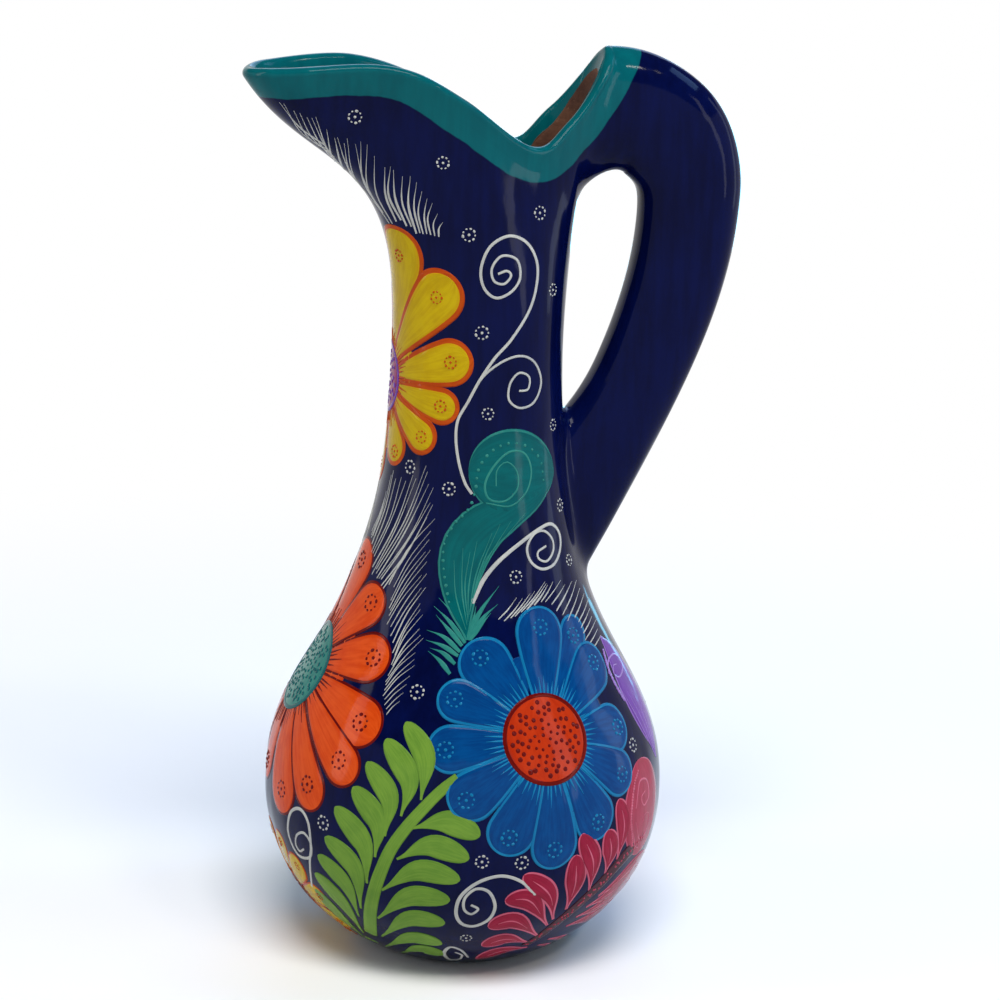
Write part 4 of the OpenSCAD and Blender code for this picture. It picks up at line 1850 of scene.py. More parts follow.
class Ornament:
    """All that is painted on this jug: its seen side in the frame's places, the rest round the axis."""

    blue_heart = (547, 739)
    orange_heart = (308, 664)
    blue_tips = (
        (540, 606), (576, 616), (598, 650), (626, 726), (631, 781), (604, 836), (553, 869), (501, 855),
        (451, 811), (427, 753), (438, 693), (468, 643))
    orange_tips = ((370, 538), (385, 592), (391, 659), (378, 737), (354, 783), (316, 811), (285, 815))
    yellow_tips = ((399, 227), (455, 277), (473, 358), (459, 412), (433, 449), (397, 465))
    fern_stem = (
        (372, 948), (370, 916), (374, 892), (381, 871), (391, 849), (406, 828), (423, 809), (442, 790),
        (458, 778))
    fern_leaflets = (
        ((421, 800), (425, 758), (406, 722)), ((401, 816), (409, 780), (386, 739)),
        ((385, 836), (389, 798), (367, 762)), ((375, 857), (377, 822), (353, 787)),
        ((367, 883), (363, 844), (335, 807)), ((361, 908), (354, 868), (325, 837)),
        ((359, 916), (345, 884), (318, 855)), ((363, 932), (340, 900), (315, 873)),
        ((363, 936), (338, 914), (315, 889)), ((413, 828), (447, 822), (480, 836)),
        ((397, 859), (431, 846), (469, 859)), ((382, 890), (418, 871), (460, 880)),
        ((378, 918), (410, 897), (450, 900)), ((382, 936), (410, 919), (445, 923)),
        ((386, 946), (413, 938), (442, 944)), ((400, 953), (420, 949), (442, 955)))
    neck_scroll = (
        (472, 494), (465, 483), (459, 463), (456, 440), (458, 420), (468, 402), (480, 380), (495, 358),
        (511, 340), (528, 313), (536, 288), (537, 263), (527, 243), (509, 236), (490, 247), (481, 269),
        (484, 288), (496, 298), (511, 292), (520, 278), (517, 260), (502, 256), (492, 268), (494, 281),
        (504, 284), (511, 276), (507, 271), (498, 274))
    side_curl = (
        (468, 402), (482, 378), (502, 362), (521, 356), (535, 363), (541, 382), (534, 402), (520, 408),
        (509, 400), (510, 384), (519, 373), (529, 377), (528, 389), (519, 391))
    low_scroll = (
        (472, 603), (484, 579), (499, 561), (519, 544), (539, 529), (551, 524), (559, 533), (560, 549),
        (554, 564), (542, 569), (531, 562), (527, 548), (534, 534), (544, 531), (552, 539), (553, 551),
        (547, 561), (539, 559), (538, 552), (546, 546))
    foot_scroll = (
        (535, 895), (522, 882), (502, 876), (479, 882), (461, 896), (456, 912), (461, 923), (474, 926),
        (489, 919), (495, 906), (489, 892), (476, 889), (465, 898), (464, 909), (471, 914), (478, 909),
        (471, 905))
    left_scroll = (
        (312, 886), (310, 863), (311, 847), (308, 822), (300, 809), (291, 812), (288, 828), (292, 844),
        (300, 856), (310, 857), (311, 844), (304, 833), (297, 835), (296, 844), (300, 851), (304, 849))
    small_scroll = (
        (468, 957), (461, 950), (450, 947), (444, 953), (449, 959), (459, 959), (462, 955), (455, 952))
    rosettes = (
        (355, 117), (443, 163), (469, 235), (540, 213), (553, 290), (482, 333), (488, 414), (449, 489),
        (410, 467), (553, 425), (560, 505), (569, 560), (516, 577), (417, 692), (482, 862), (522, 863),
        (633, 745), (466, 938), (323, 823))
    spout_feet = (
        (325, 145), (345, 170), (357, 184), (368, 196), (378, 206), (387, 219), (393, 223), (399, 221),
        (407, 225), (414, 230), (418, 234), (426, 234), (439, 236))
    spout_tips = (
        (275, 98), (312, 118), (327, 127), (342, 140), (354, 145), (366, 147), (376, 158), (388, 162),
        (395, 174), (406, 173), (413, 175), (426, 195), (443, 221))
    fan_feet = ((371, 533), (372, 545), (373, 558), (373, 571), (375, 578), (379, 583), (384, 587))
    fan_tips = ((384, 500), (395, 468), (404, 483), (414, 481), (431, 470), (438, 491), (434, 506))
    side_feet = (
        (388, 586), (392, 597), (390, 609), (387, 622), (390, 635), (393, 650), (393, 659), (389, 674),
        (385, 688), (383, 700), (387, 714))
    side_tips = (
        (432, 523), (430, 537), (429, 549), (426, 567), (423, 584), (423, 597), (422, 607), (423, 631),
        (417, 654), (412, 673), (401, 700))
    blue_feet = (
        (498, 620), (507, 620), (522, 613), (540, 602), (546, 601), (553, 606), (562, 618), (570, 620),
        (578, 627), (586, 641), (592, 650))
    blue_strokes = (
        (517, 597), (526, 596), (545, 583), (551, 583), (560, 581), (568, 582), (576, 582), (582, 588),
        (589, 602), (596, 622), (602, 633))

    leaf_half = (0.3, 5.5, 9.0, 10.3, 9.2, 6.6, 2.5)
    leaf_curl = (511.0, 472.0, 42.5, 17.6)
    leaf_spine = ((467, 640), (460, 596), (462, 557), (479, 531), (506, 513), (534, 497), (548, 482))
    leaf_spiral = (
        (486, 503), (510, 506), (526, 492), (531, 470), (524, 453), (509, 452), (494, 466), (485, 484),
        (489, 499), (505, 501), (517, 489), (517, 472), (507, 462), (497, 470), (496, 486))
    leaf_veins = (
        ((466, 630), (456, 596), (454, 560)), ((467, 625), (462, 590), (463, 548)),
        ((468, 620), (469, 585), (477, 541)), ((469, 615), (476, 575), (492, 533)),
        ((468, 622), (465, 586), (470, 552)), ((470, 612), (480, 570), (500, 524)),
        ((470, 608), (484, 566), (511, 521)), ((471, 604), (490, 558), (525, 513)))
    leaf_dots = (
        (449, 602), (444, 572), (444, 545), (454, 524), (468, 510), (475, 492), (479, 468), (492, 451),
        (510, 443), (528, 447), (540, 460), (543, 480))
    grass_blades = (
        ((468, 638), (480, 612), (499, 586)), ((470, 637), (483, 618), (498, 604)),
        ((470, 640), (480, 626), (491, 613)), ((467, 640), (456, 617), (439, 598)),
        ((465, 643), (450, 622), (434, 606)), ((462, 646), (449, 630), (436, 615)),
        ((460, 652), (444, 637), (427, 630)), ((458, 656), (443, 646), (426, 640)),
        ((455, 664), (443, 653), (430, 648)), ((450, 674), (440, 661), (428, 651)),
        ((467, 640), (463, 622), (458, 606)), ((468, 640), (473, 622), (476, 606)))
    pink_stem = (
        (525, 945), (541, 935), (560, 920), (580, 903), (600, 884), (618, 864), (631, 849), (642, 838))
    pink_leaflets = (
        ((527, 947), (500, 951), (478, 959)), ((528, 942), (505, 939), (482, 946)),
        ((538, 936), (514, 921), (488, 927)), ((547, 925), (530, 901), (505, 900)),
        ((553, 919), (549, 894), (524, 875)), ((566, 909), (575, 884), (576, 855)),
        ((589, 890), (593, 862), (582, 834)), ((605, 873), (611, 851), (608, 830)),
        ((617, 859), (624, 827), (619, 799)), ((548, 939), (574, 934), (602, 919)),
        ((566, 926), (594, 914), (622, 893)), ((586, 907), (612, 891), (638, 866)),
        ((538, 945), (562, 942), (586, 931)), ((576, 917), (603, 903), (630, 880)),
        ((598, 896), (622, 877), (644, 852)))
    purple_half = (0.3, 8.5, 13.0, 13.5, 9.0, 0.3)
    purple_spine = ((600, 636), (612, 654), (625, 676), (638, 701), (650, 731), (656, 757))
    purple_spiral = (
        (609, 674), (608, 661), (613, 654), (619, 659), (622, 669), (619, 677), (614, 674), (613, 666),
        (616, 664))
    purple_veins = (
        ((652, 748), (636, 716), (620, 688)), ((653, 748), (640, 716), (626, 690)),
        ((654, 749), (644, 718), (632, 691)), ((655, 750), (648, 724), (639, 698)))
    purple_dots = ((603, 650), (608, 668), (615, 684), (624, 700))
    paisley_centre = (643, 808)
    paisley_spine = ((0, -21), (1, -11), (1, 1), (0, 12), (-2, 21))
    paisley_half = (0.4, 13.5, 17.0, 18.0, 16.5, 12.5, 0.4)
    paisley_curl = ((-7, 2), (-3, 12), (4, 11), (6, 4), (1, 1), (-2, 5), (2, 7))
    paisley_veins = (
        ((-7, -4), (-2, -13), (5, -12), (7, -5), (2, -3), (-1, -7)), ((-9, -8), (-5, -15), (0, -18)))
    paisley_dots = ((-8, -14), (-11, -3), (-10, 6), (-7, 13), (-3, 17))
    ring_r = 2.55
    drop_half = (0.5, 9.5, 9.0, 4.5, 0.3)
    drop_spine = ((0, -22), (2, -9), (2, 6), (-2, 18), (-8, 28))
    drop_curl = ((-5, -9), (-1, -2), (6, -4), (8, -11), (3, -16), (-2, -12), (1, -7), (4, -9))
    drop_veins = (((2, 2), (1, 12), (-4, 22)), ((-2, 3), (-2, 12), (-6, 21)), ((5, 3), (4, 11), (0, 18)))
    drop_dots = ((-6, -15), (-6, -3), (-5, 8), (-5, 17))

    def __init__(self, painting: Painting) -> None:
        """Keeps the painting."""
        self.painting = painting
        self.skin = painting.skin
        self.front = FrontSheet(painting.skin)

    def paint(self) -> None:
        """Paints everything."""
        self._flowers()
        self._green_ferns()
        self._teal_leaves()
        self._pink_ferns()
        self._drops()
        self._scrolls()
        self._feathers()
        self._rosettes()

    def _both(self, name: str, turn: float) -> list[tuple[str, FrontSheet]]:
        """A motif's name and sheet on the seen side, and those of its mirror image behind."""
        return [(name, self.front), ("far " + name, FrontSheet(self.skin, behind=True, turn=turn))]

    def _flowers(self) -> None:
        """The three flowers of the seen side and those of the far side."""
        blue = Daisy("blue daisy", Paint.BLUE, Paint.SKY, Paint.EMBER, Paint.WINE, Paint.SKY,
                     heart_r=18.0, length=52.0, tips=self.blue_tips)
        blue.paint_on(self.painting, self.skin.seen(*self.blue_heart))
        orange = Daisy("orange daisy", Paint.ORANGE, Paint.WINE, Paint.MIST, Paint.TEAL, Paint.WINE,
                       heart_r=19.5, length=54.0, tips=self.orange_tips, dots=110)
        orange.paint_on(self.painting, self.skin.seen(*self.orange_heart))
        yellow = Daisy("yellow daisy", Paint.YELLOW, Paint.FLAME, Paint.MAGENTA, Paint.PURPLE, Paint.FLAME,
                       heart_r=14.0, length=46.0, count=10, tips=self.yellow_tips, outline_w=1.8, dots=40)
        yellow.paint_on(self.painting, self.skin.at(angle=170.0, height=242.0))
        magenta = Daisy("magenta daisy", Paint.PINK, Paint.ROSE, Paint.YELLOW, Paint.FLAME, Paint.ROSE,
                        heart_r=18.0, length=50.0)
        behind = FrontSheet(self.skin, behind=True, turn=-6.0)
        magenta.paint_on(self.painting, behind.lay(np.array([self.blue_heart]))[0])
        low = Daisy("low yellow daisy", Paint.YELLOW, Paint.FLAME, Paint.EMBER, Paint.WINE, Paint.FLAME,
                    heart_r=10.0, length=33.0, count=11, start=8.0, outline_w=0.8, dots=26)
        low.paint_on(self.painting, self.skin.at(angle=184.0, height=24.0))

    def _green_ferns(self) -> None:
        """The green fern, and its mirror image behind."""
        for name, sheet in self._both("green fern", turn=-6.0):
            Fern(name, Paint.GREEN, self.fern_stem, self.fern_leaflets).paint_on(self.painting, sheet)

    def _teal_leaves(self) -> None:
        """The two-lobed leaf with its grass, and its mirror image behind."""
        for name, sheet in self._both("teal leaf", turn=4.0):
            leaf = LobedLeaf(name, Paint.TEAL, Paint.MIST, ((self.leaf_spine, self.leaf_half),),
                             self.leaf_spiral, self.leaf_veins, self.leaf_dots, self.leaf_curl)
            leaf.paint_on(self.painting, sheet)
            grass = self.painting.film(name + " grass", Paint.MIST, lift=0.16, edge_points=12)
            for blade in self.grass_blades:
                line = sheet.lay(flowing(blade, count=14))
                grass.add(line, swelling(len(line), width=1.05, start=0.7, end=0.08, fullest=0.3))

    def _pink_ferns(self) -> None:
        """The pink fern at the foot of the blue daisy, and its mirror image behind."""
        stray, dot_r = 1.7, 0.62
        for name, sheet in self._both("pink fern", turn=-6.0):
            fern = Fern(name, Paint.PINK, self.pink_stem, self.pink_leaflets, stem_half=(2.4, 4.2),
                        stem_paint=Paint.PLUM, rib=Paint.BLUSH)
            fern.paint_on(self.painting, sheet)
            dots = self.painting.dotted(name + " stem dots", Paint.ROSE, lift=0.42)
            for place in sheet.lay(flowing(self.pink_stem, count=64)):
                drift = np.array([self.painting.random.uniform(-stray, stray) for _ in place])
                dots.add(place + drift, dot_r)

    def _drops(self) -> None:
        """The purple leaf and the pink paisley on both sides, and a teal drop under the handle."""
        reach = 40.0
        for name, sheet in self._both("purple leaf", turn=-4.0):
            leaf = LobedLeaf(name, Paint.PURPLE, Paint.LILAC, ((self.purple_spine, self.purple_half),),
                             self.purple_spiral, self.purple_veins, self.purple_dots)
            leaf.paint_on(self.painting, sheet)
            paisley = LobedLeaf(name.replace("purple leaf", "pink paisley"), Paint.ROSE, Paint.BLUSH,
                                ((self.paisley_spine, self.paisley_half),), self.paisley_curl,
                                self.paisley_veins, self.paisley_dots, round_ends=True)
            centre = sheet.lay(np.array([self.paisley_centre]))[0]
            paisley.paint_on(self.painting, RoundSheet(self.skin, centre, reach))
        drop = LobedLeaf("teal drop", Paint.TEAL, Paint.MIST, ((self.drop_spine, self.drop_half),),
                         self.drop_curl, self.drop_veins, self.drop_dots)
        centre = self.skin.at(angle=0.0, height=74.0)
        drop.paint_on(self.painting, RoundSheet(self.skin, centre, reach))

    def _scrolls(self) -> None:
        """The white scrolls on both sides."""
        lines = (Scroll(self.neck_scroll, (0.6, 0.65, 0.5)), Scroll(self.side_curl, (0.5, 0.5, 0.45)),
                 Scroll(self.low_scroll, (1.0, 0.65, 0.45)), Scroll(self.foot_scroll, (0.7, 0.8, 0.55)),
                 Scroll(self.small_scroll, (0.5, 0.9, 0.4)), Scroll(self.left_scroll, (0.6, 0.75, 0.5)))
        for name, sheet in self._both("white scrolls", turn=3.0):
            film = self.painting.film(name, Paint.WHITE, lift=0.2, edge_points=10)
            for scroll in lines[:-1] if sheet.behind else lines:
                scroll.paint_on(film, sheet)

    def _feathers(self) -> None:
        """The fans of fine white strokes on both sides."""
        fans = (Feathers(self.spout_feet, self.spout_tips, count=27, bow=-0.1, half=0.42),
                Feathers(self.fan_feet, self.fan_tips, count=17, bow=0.03, half=0.26),
                Feathers(self.side_feet, self.side_tips, count=23, bow=-0.045, half=0.22),
                Feathers(self.blue_feet, self.blue_strokes, count=20, bow=0.03, half=0.3))
        for name, sheet in self._both("white feather strokes", turn=0.0):
            film = self.painting.film(name, Paint.WHITE, lift=0.16, edge_points=8)
            for fan in fans[1:] if sheet.behind else fans:
                fan.paint_on(self.painting, film, sheet)

    def _rosettes(self) -> None:
        """The small rings of white dashes scattered over the ground."""
        least, most = 0.85, 1.1
        for name, sheet in self._both("white rosettes", turn=2.0):
            rings = self.painting.dotted(name, Paint.WHITE, lift=0.2, dashes=9)
            for spot in self.rosettes[:-1] if sheet.behind else self.rosettes:
                for place in sheet.lay(np.array([spot])):
                    rings.add(place, self.ring_r * self.painting.random.uniform(least, most))


# The clay's pieces


@dataclass
class ClayBody:
    """The jug's body from its foot to the lip, one wall outside and inside.

    Attributes:
        form: The clay's form.
        columns: Points round each ring.
        bowl_rings: Rings from the foot to the widest ring.
        neck_rings: Rings from there to the waist.
        collar_rings: Rings from the waist to the lip.
        inner_rings: Rings down the inside.
        foot_rings: Rings across the foot and the floor.
    """

    form: JugForm
    columns: int = 216
    bowl_rings: int = 40
    neck_rings: int = 90
    collar_rings: int = 56
    inner_rings: int = 64
    foot_rings: int = 6

    def __post_init__(self) -> None:
        """Sets the angles of the columns, the same for every ring."""
        self.angles = np.arange(self.columns) * FULL_TURN / self.columns

    def skin_rows(self, edge_rings: int = 5) -> Array:
        """The outer rings from the foot to the crest of the lip."""
        over = self.form.lip_round(self.angles, np.linspace(0, math.pi / 2, edge_rings)[1:])
        return np.concatenate([self.outer_rows(), over])

    def outer_rows(self, lip_rings: int = 10) -> Array:
        """The outer rings from the foot to the lip's edge.

        Args:
            lip_rings: How many of them, at the end, are the lip's own.

        Returns:
            The rings.
        """
        start = self.form.lip_start(self.angles)
        low = self.form.turned_rows(np.linspace(0, 1, self.bowl_rings)[:-1], self.angles)
        neck = self.form.turned_rows(np.linspace(1, 2, self.neck_rings)[:-1], self.angles)
        shares = np.linspace(0, 1, self.collar_rings)[:, None] * start[None, :]
        collar = self.form.collar_rows(shares, self.angles)
        shares = mix(start[None, :], 1.0, np.linspace(0, 1, lip_rings)[1:, None])
        rows = np.concatenate([low, neck, collar, self.form.collar_rows(shares, self.angles)])
        return self.form.hand_made(rows, ring_normals(rows))

    def build(self, glaze: Material, clay: Material, skin: Skin) -> Object:
        """Makes the body.

        Args:
            glaze: Finish of the outside.
            clay: Finish of the inside and of the foot's underside.
            skin: The body's skin.

        Returns:
            The piece.
        """
        under_lip = 6
        form = self.form
        outside = self.outer_rows()[: -under_lip]
        inside = self._inner_rows()
        flat = np.linspace(0, 1, self.foot_rings)[1:-1]
        foot = outside[0] * flat[:, None, None]
        floor = inside[-1] * np.array([1, 1, 0]) * flat[::-1, None, None] + [0, 0, form.floor_t]
        rows = np.concatenate([foot, outside, inside, floor])
        n = self.columns
        points = np.vstack([rows.reshape(-1, 3), [[0, 0, 0]], [[0, 0, form.floor_t]]])
        faces = capped_faces(len(rows), n)
        piece = mesh_object("clay body", points, faces)
        piece.data.materials.append(glaze)
        piece.data.materials.append(clay)
        bare = np.zeros(len(faces), np.int32)
        bare[: len(foot) * n] = 1
        bare[(len(foot) + len(outside) - 1) * n:] = 1
        piece.data.polygons.foreach_set("material_index", bare)
        set_floats(piece, "rim_gap", rim_gaps(points, form, skin))
        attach(piece, BODY)
        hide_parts("foot_disc", "lower_belly", "upper_belly", "neck", "spout_collar")
        return piece

    def _inner_rows(self) -> Array:
        """The rings of the inner wall, from the lip down to the floor, thinner towards the lip."""
        form, start = self.form, self.form.lip_start(self.angles)
        places = np.linspace(2, 0, form.line_samples)
        wall = form.profile(places)
        slope = unit(np.gradient(wall, axis=0))
        inner = wall + form.wall * np.stack([slope[:, 1], -slope[:, 0]], axis=1)
        floor_place = places[np.argmax(inner[:, 1] < form.floor_t)]
        down = form.turned_rows(np.linspace(2, floor_place, self.inner_rings), self.angles)
        shares = np.linspace(1, 0, self.collar_rings // 2)[:-1, None] * start[None, :]
        rows = np.concatenate([form.collar_rows(shares, self.angles), down])
        top = np.linspace(1, 0, len(shares))[:, None] * start[None, :]
        thick = np.full(rows.shape[:2], form.wall)
        thick[: len(shares)] = mix(form.wall, form.lip_t, top)
        return rows + ring_normals(rows) * thick[..., None]


@dataclass
class Lip:
    """The rounded coil round the mouth, with its turquoise glaze.

    Attributes:
        body: The body that it stands on.
        rings: Rings up its outer face.
        round_rings: Rings over its edge.
        proud: How far the glaze stands out, in millimetres.
        spout_brush: How much further the glaze goes inside the spout than elsewhere.
    """

    body: ClayBody
    rings: int = 10
    round_rings: int = 11
    proud: float = 0.03
    spout_brush: float = 3.5

    def build(self, glaze: Material, skin: Skin) -> Object:
        """Makes the lip.

        Args:
            glaze: Its finish.
            skin: The body's skin.

        Returns:
            The piece.
        """
        overlap = 1.15
        form, angles = self.body.form, self.body.angles
        outer = self.body.outer_rows(self.rings)[-self.rings:]
        rise = self.proud * np.minimum(np.arange(self.rings) - 1.0, 1.0)[:, None, None]
        outer = outer + ring_normals(outer) * rise
        turns = np.linspace(0, math.pi, self.round_rings)
        rounds = form.lip_round(angles, turns)
        rounds = rounds + (outer[-1] - rounds[0]) * (1 + np.cos(turns))[:, None, None] / 2
        start = form.lip_start(angles)
        shares = mix(1.0, start[None, :], np.linspace(0, overlap, self.rings)[:, None])
        plain = form.collar_rows(shares, angles)
        thick = mix(form.wall, form.lip_t, shares)[..., None] + rise[::-1]
        inner = plain + ring_normals(plain) * thick
        rows = np.concatenate([outer[:-1], rounds, inner[1:]])
        piece = mesh_object("lip", rows.reshape(-1, 3), ring_faces(len(rows), len(angles), True))
        steps = np.linalg.norm(np.diff(rows, axis=0), axis=2)
        lengths = np.concatenate([np.zeros((1, len(angles))), np.cumsum(steps, axis=0)])
        top = self.rings - 2 + self.round_rings // 2 + 1
        spout = np.maximum(-np.cos(np.radians(angles)), 0) ** 2
        set_floats(piece, "inside", (lengths - lengths[top]) / (1 + self.spout_brush * spout))
        gaps = rim_gaps(rows.reshape(-1, 3), form, skin)
        gaps[top * len(angles):] = 0.0
        set_floats(piece, "rim_gap", gaps)
        piece.data.materials.append(glaze)
        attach(piece, BODY)
        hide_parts("lip_coil")
        return piece


@dataclass
class Handle:
    """The pulled handle, from the back of the mouth over its bend down to the neck.

    Attributes:
        form: The clay's form.
        reach: Distance from the axis to its middle at the bend.
        bend_rise: Height of the bend above the waist.
        root_depth: Depth at its root.
        bend_depth: Depth at its bend.
        grip_depth: Depth where it lands.
        arch_swell: How much deeper it is between its root and its bend.
        grip_waist: How much slimmer it is between its bend and its landing.
        root_w: Width at its root.
        width: Width below its bend.
        landing_rise: Height of the landing above the widest ring.
        landing_lean: Lean from upright where it lands, in degrees.
        web: Radius of the clay under its root.
        bed: How deep the buried ends lie in the wall.
        back_round: Bend of the root round the collar's back.
        oblong_power: How square the section is below the bend.
        sides: Points round the section.
        arch_places: Sections from the root to the bend.
        grip_places: Sections from the bend to the landing.
        buried_places: Sections inside the neck's wall.
        inner_rounds: Rounds of smoothing along the inner side of the bend.
        arch_pull: How far the curve keeps level past the root and upright before the bend, as shares.
        grip_pull: How far it keeps upright past the bend and straight before the landing, as shares.
        buried_run: How far it goes on inside the wall, for the depth where it lands.
        fine_start: How much closer the sections lie at the root.
        squared_by: The place from the root, 1 being the bend, at which sections stand square to the line.
        round_in: The place by which the inner side is smoothed in full.
        round_out: The places over which that smoothing ends.
    """

    form: JugForm
    reach: float = 87.0
    bend_rise: float = 62.0
    root_depth: float = 46.0
    bend_depth: float = 42.0
    grip_depth: float = 38.0
    arch_swell: float = 4.0
    grip_waist: float = 1.8
    root_w: float = 22.0
    width: float = 27.0
    landing_rise: float = 120.0
    landing_lean: float = 28.0
    web: float = 24.0
    bed: float = 2.2
    back_round: float = 13.0
    oblong_power: float = 0.74
    sides: int = 80
    arch_places: int = 80
    grip_places: int = 150
    buried_places: int = 40
    inner_rounds: int = 260
    arch_pull: Pair = (0.68, 0.37)
    grip_pull: Pair = (0.32, 0.46)
    buried_run: float = 1.2
    fine_start: float = 1.6
    squared_by: float = 0.5
    round_in: float = 0.3
    round_out: Pair = (1.4, 1.8)

    def rail(self) -> Object:
        """The middle line as points, each with its direction and the section's sizes."""
        form = self.form
        root_z = form.waist_z + form.back_rise - self.root_depth / 2
        root = np.array([float(form.back_line(root_z)) - form.lip_t / 4, root_z])
        bend = np.array([self.reach, form.waist_z + self.bend_rise])
        landing_z = form.belly_z + self.landing_rise
        landing = np.array([form.radius_at(landing_z), landing_z])
        lean = math.radians(self.landing_lean)
        end_dir = np.array([-math.sin(lean), -math.cos(lean)])
        drop = bend[1] - landing_z
        level, before_bend = self.arch_pull
        past_bend, straight = self.grip_pull
        arch = (root, root + [(bend[0] - root[0]) * level, 0],
                bend + [0, (root_z - bend[1]) * before_bend], bend)
        grip = (bend, bend - [0, drop * past_bend], landing - end_dir * drop * straight, landing)
        t = np.linspace(0, 1, self.arch_places)[:, None] ** self.fine_start
        g = np.linspace(0, 1, self.grip_places)[1:, None]
        b = np.linspace(0, 1, self.buried_places)[1:, None]
        mid = np.vstack([cubic(*arch, t), cubic(*grip, g),
                         landing + end_dir * b * self.grip_depth * self.buried_run])
        lead = unit(np.vstack([cubic_slope(*arch, t), cubic_slope(*grip, g),
                               np.repeat([end_dir], len(b), 0)]))
        s = np.concatenate([t[:, 0], 1 + g[:, 0], 2 + b[:, 0]])
        swell = np.sin(np.pi * np.clip(s, 0, 2))
        arch_depth = mix(self.root_depth, self.bend_depth, smooth(s)) + self.arch_swell * swell ** 2
        grip_depth = mix(self.bend_depth, self.grip_depth, smooth(s - 1)) + self.grip_waist * swell
        depth = np.where(s <= 1, arch_depth, grip_depth)
        fade, out = self.round_out
        share = smooth(s / self.round_in) * smooth((out - s) / (out - fade))
        mid, lead, depth = self._rounded(mid, lead, depth, share)
        wide = mix(self.root_w, self.width, smooth(s))
        ends = np.concatenate([[0], np.arange(len(s)), [len(s) - 1]])
        open_section = np.ones(len(ends))
        open_section[[0, -1]] = 0.0
        points = np.stack([mid[:, 0], 0 * s, mid[:, 1]], axis=1)[ends]
        rail = mesh_object("pulled handle", points, [])
        set_vectors(rail, "lead", np.stack([lead[:, 0], 0 * s, lead[:, 1]], axis=1)[ends])
        set_floats(rail, "half_depth", depth[ends] / 2 * open_section * MM)
        set_floats(rail, "half_width", wide[ends] / 2 * open_section * MM)
        set_floats(rail, "power", mix(1.0, self.oblong_power, smooth(s))[ends])
        set_floats(rail, "square", smooth(s / self.squared_by)[ends])
        left = np.clip(1 - (mid[:, 0] - root[0]) / self.web, 0, 1)
        set_floats(rail, "web", (self.web * (1 - np.sqrt(1 - left * left)) / (depth / 2))[ends])
        return rail

    def _rounded(self, mid: Array, lead: Array, depth: Array,
                 share: Array) -> tuple[Array, Array, Array]:
        """Rounds the inner side of the bend.

        Args:
            mid: The middle line.
            lead: Its directions.
            depth: The depth at each place.
            share: How much each place may move.

        Returns:
            The middle line, directions and depths that go with the rounder inner side.
        """
        across = np.stack([-lead[:, 1], lead[:, 0]], axis=1) * depth[:, None] / 2
        outer, inner = mid + across, mid - across
        for _ in range(self.inner_rounds):
            drift = (inner[:-2] + inner[2:]) / 2 - inner[1:-1]
            inner[1:-1] += drift * share[1:-1, None] / 2
        depth = np.linalg.norm(outer - inner, axis=1)
        across = unit(outer - inner)
        return (outer + inner) / 2, np.stack([across[:, 1], -across[:, 0]], axis=1), depth

    def build(self, glaze: Material, skin: Skin) -> Object:
        """Makes the handle.

        Args:
            glaze: Its finish.
            skin: The skin that it grows out of.

        Returns:
            The piece.
        """
        form = self.form
        helper = skin.helper()
        rail = self.rail()
        places = len(rail.data.vertices)
        high = self.root_depth / 2
        low = -high - self.web
        root_z = form.waist_z + form.back_rise - high
        foot, middle, top = form.back_line(root_z + np.array([low, 0.0, high]))
        lean, bow = np.linalg.solve([[low, low * low], [high, high * high]], [foot - middle, top - middle])
        piece = HandleTree().bake(rail, {
            "Skin": helper, "Finish": glaze, "Places": places, "Sides": self.sides,
            "Back Lean": float(lean), "Back Bow": float(bow / MM), "Back Round": self.back_round * MM,
            "Bed": self.bed * MM})
        bpy.data.objects.remove(helper)
        set_floats(piece, "rim_gap", rim_gaps(mesh_points(piece), form, skin))
        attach(piece, BODY)
        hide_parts("handle")
        return piece


def rim_gaps(points: Array, form: JugForm, skin: Skin) -> Array:
    """How far points are from the rim, a little less where they lie on the collar's back and sides.

    Args:
        points: The points in millimetres.
        form: The clay's form.
        skin: The body's skin.

    Returns:
        A distance for each point.
    """
    near, on_collar, thick = 40.0, 0.86, 12.0
    spout_from, spout_run, crest_points = -20.0, 40.0, 1080
    crest = form.rim(np.linspace(-HALF_TURN, HALF_TURN, crest_points))
    search = KDTree(len(crest))
    for k, place in enumerate(crest):
        search.insert(Vector(place), k)
    search.balance()
    gaps = np.array([search.find(Vector(point))[2] for point in points])
    for k in np.flatnonzero(gaps < near):
        off = np.linalg.norm(points[k] - skin.nearest(points[k])[0])
        spout = smooth((spout_from - points[k, 0]) / spout_run)
        gaps[k] *= mix(on_collar, 1.0, max(smooth(off / thick), spout))
    return gaps


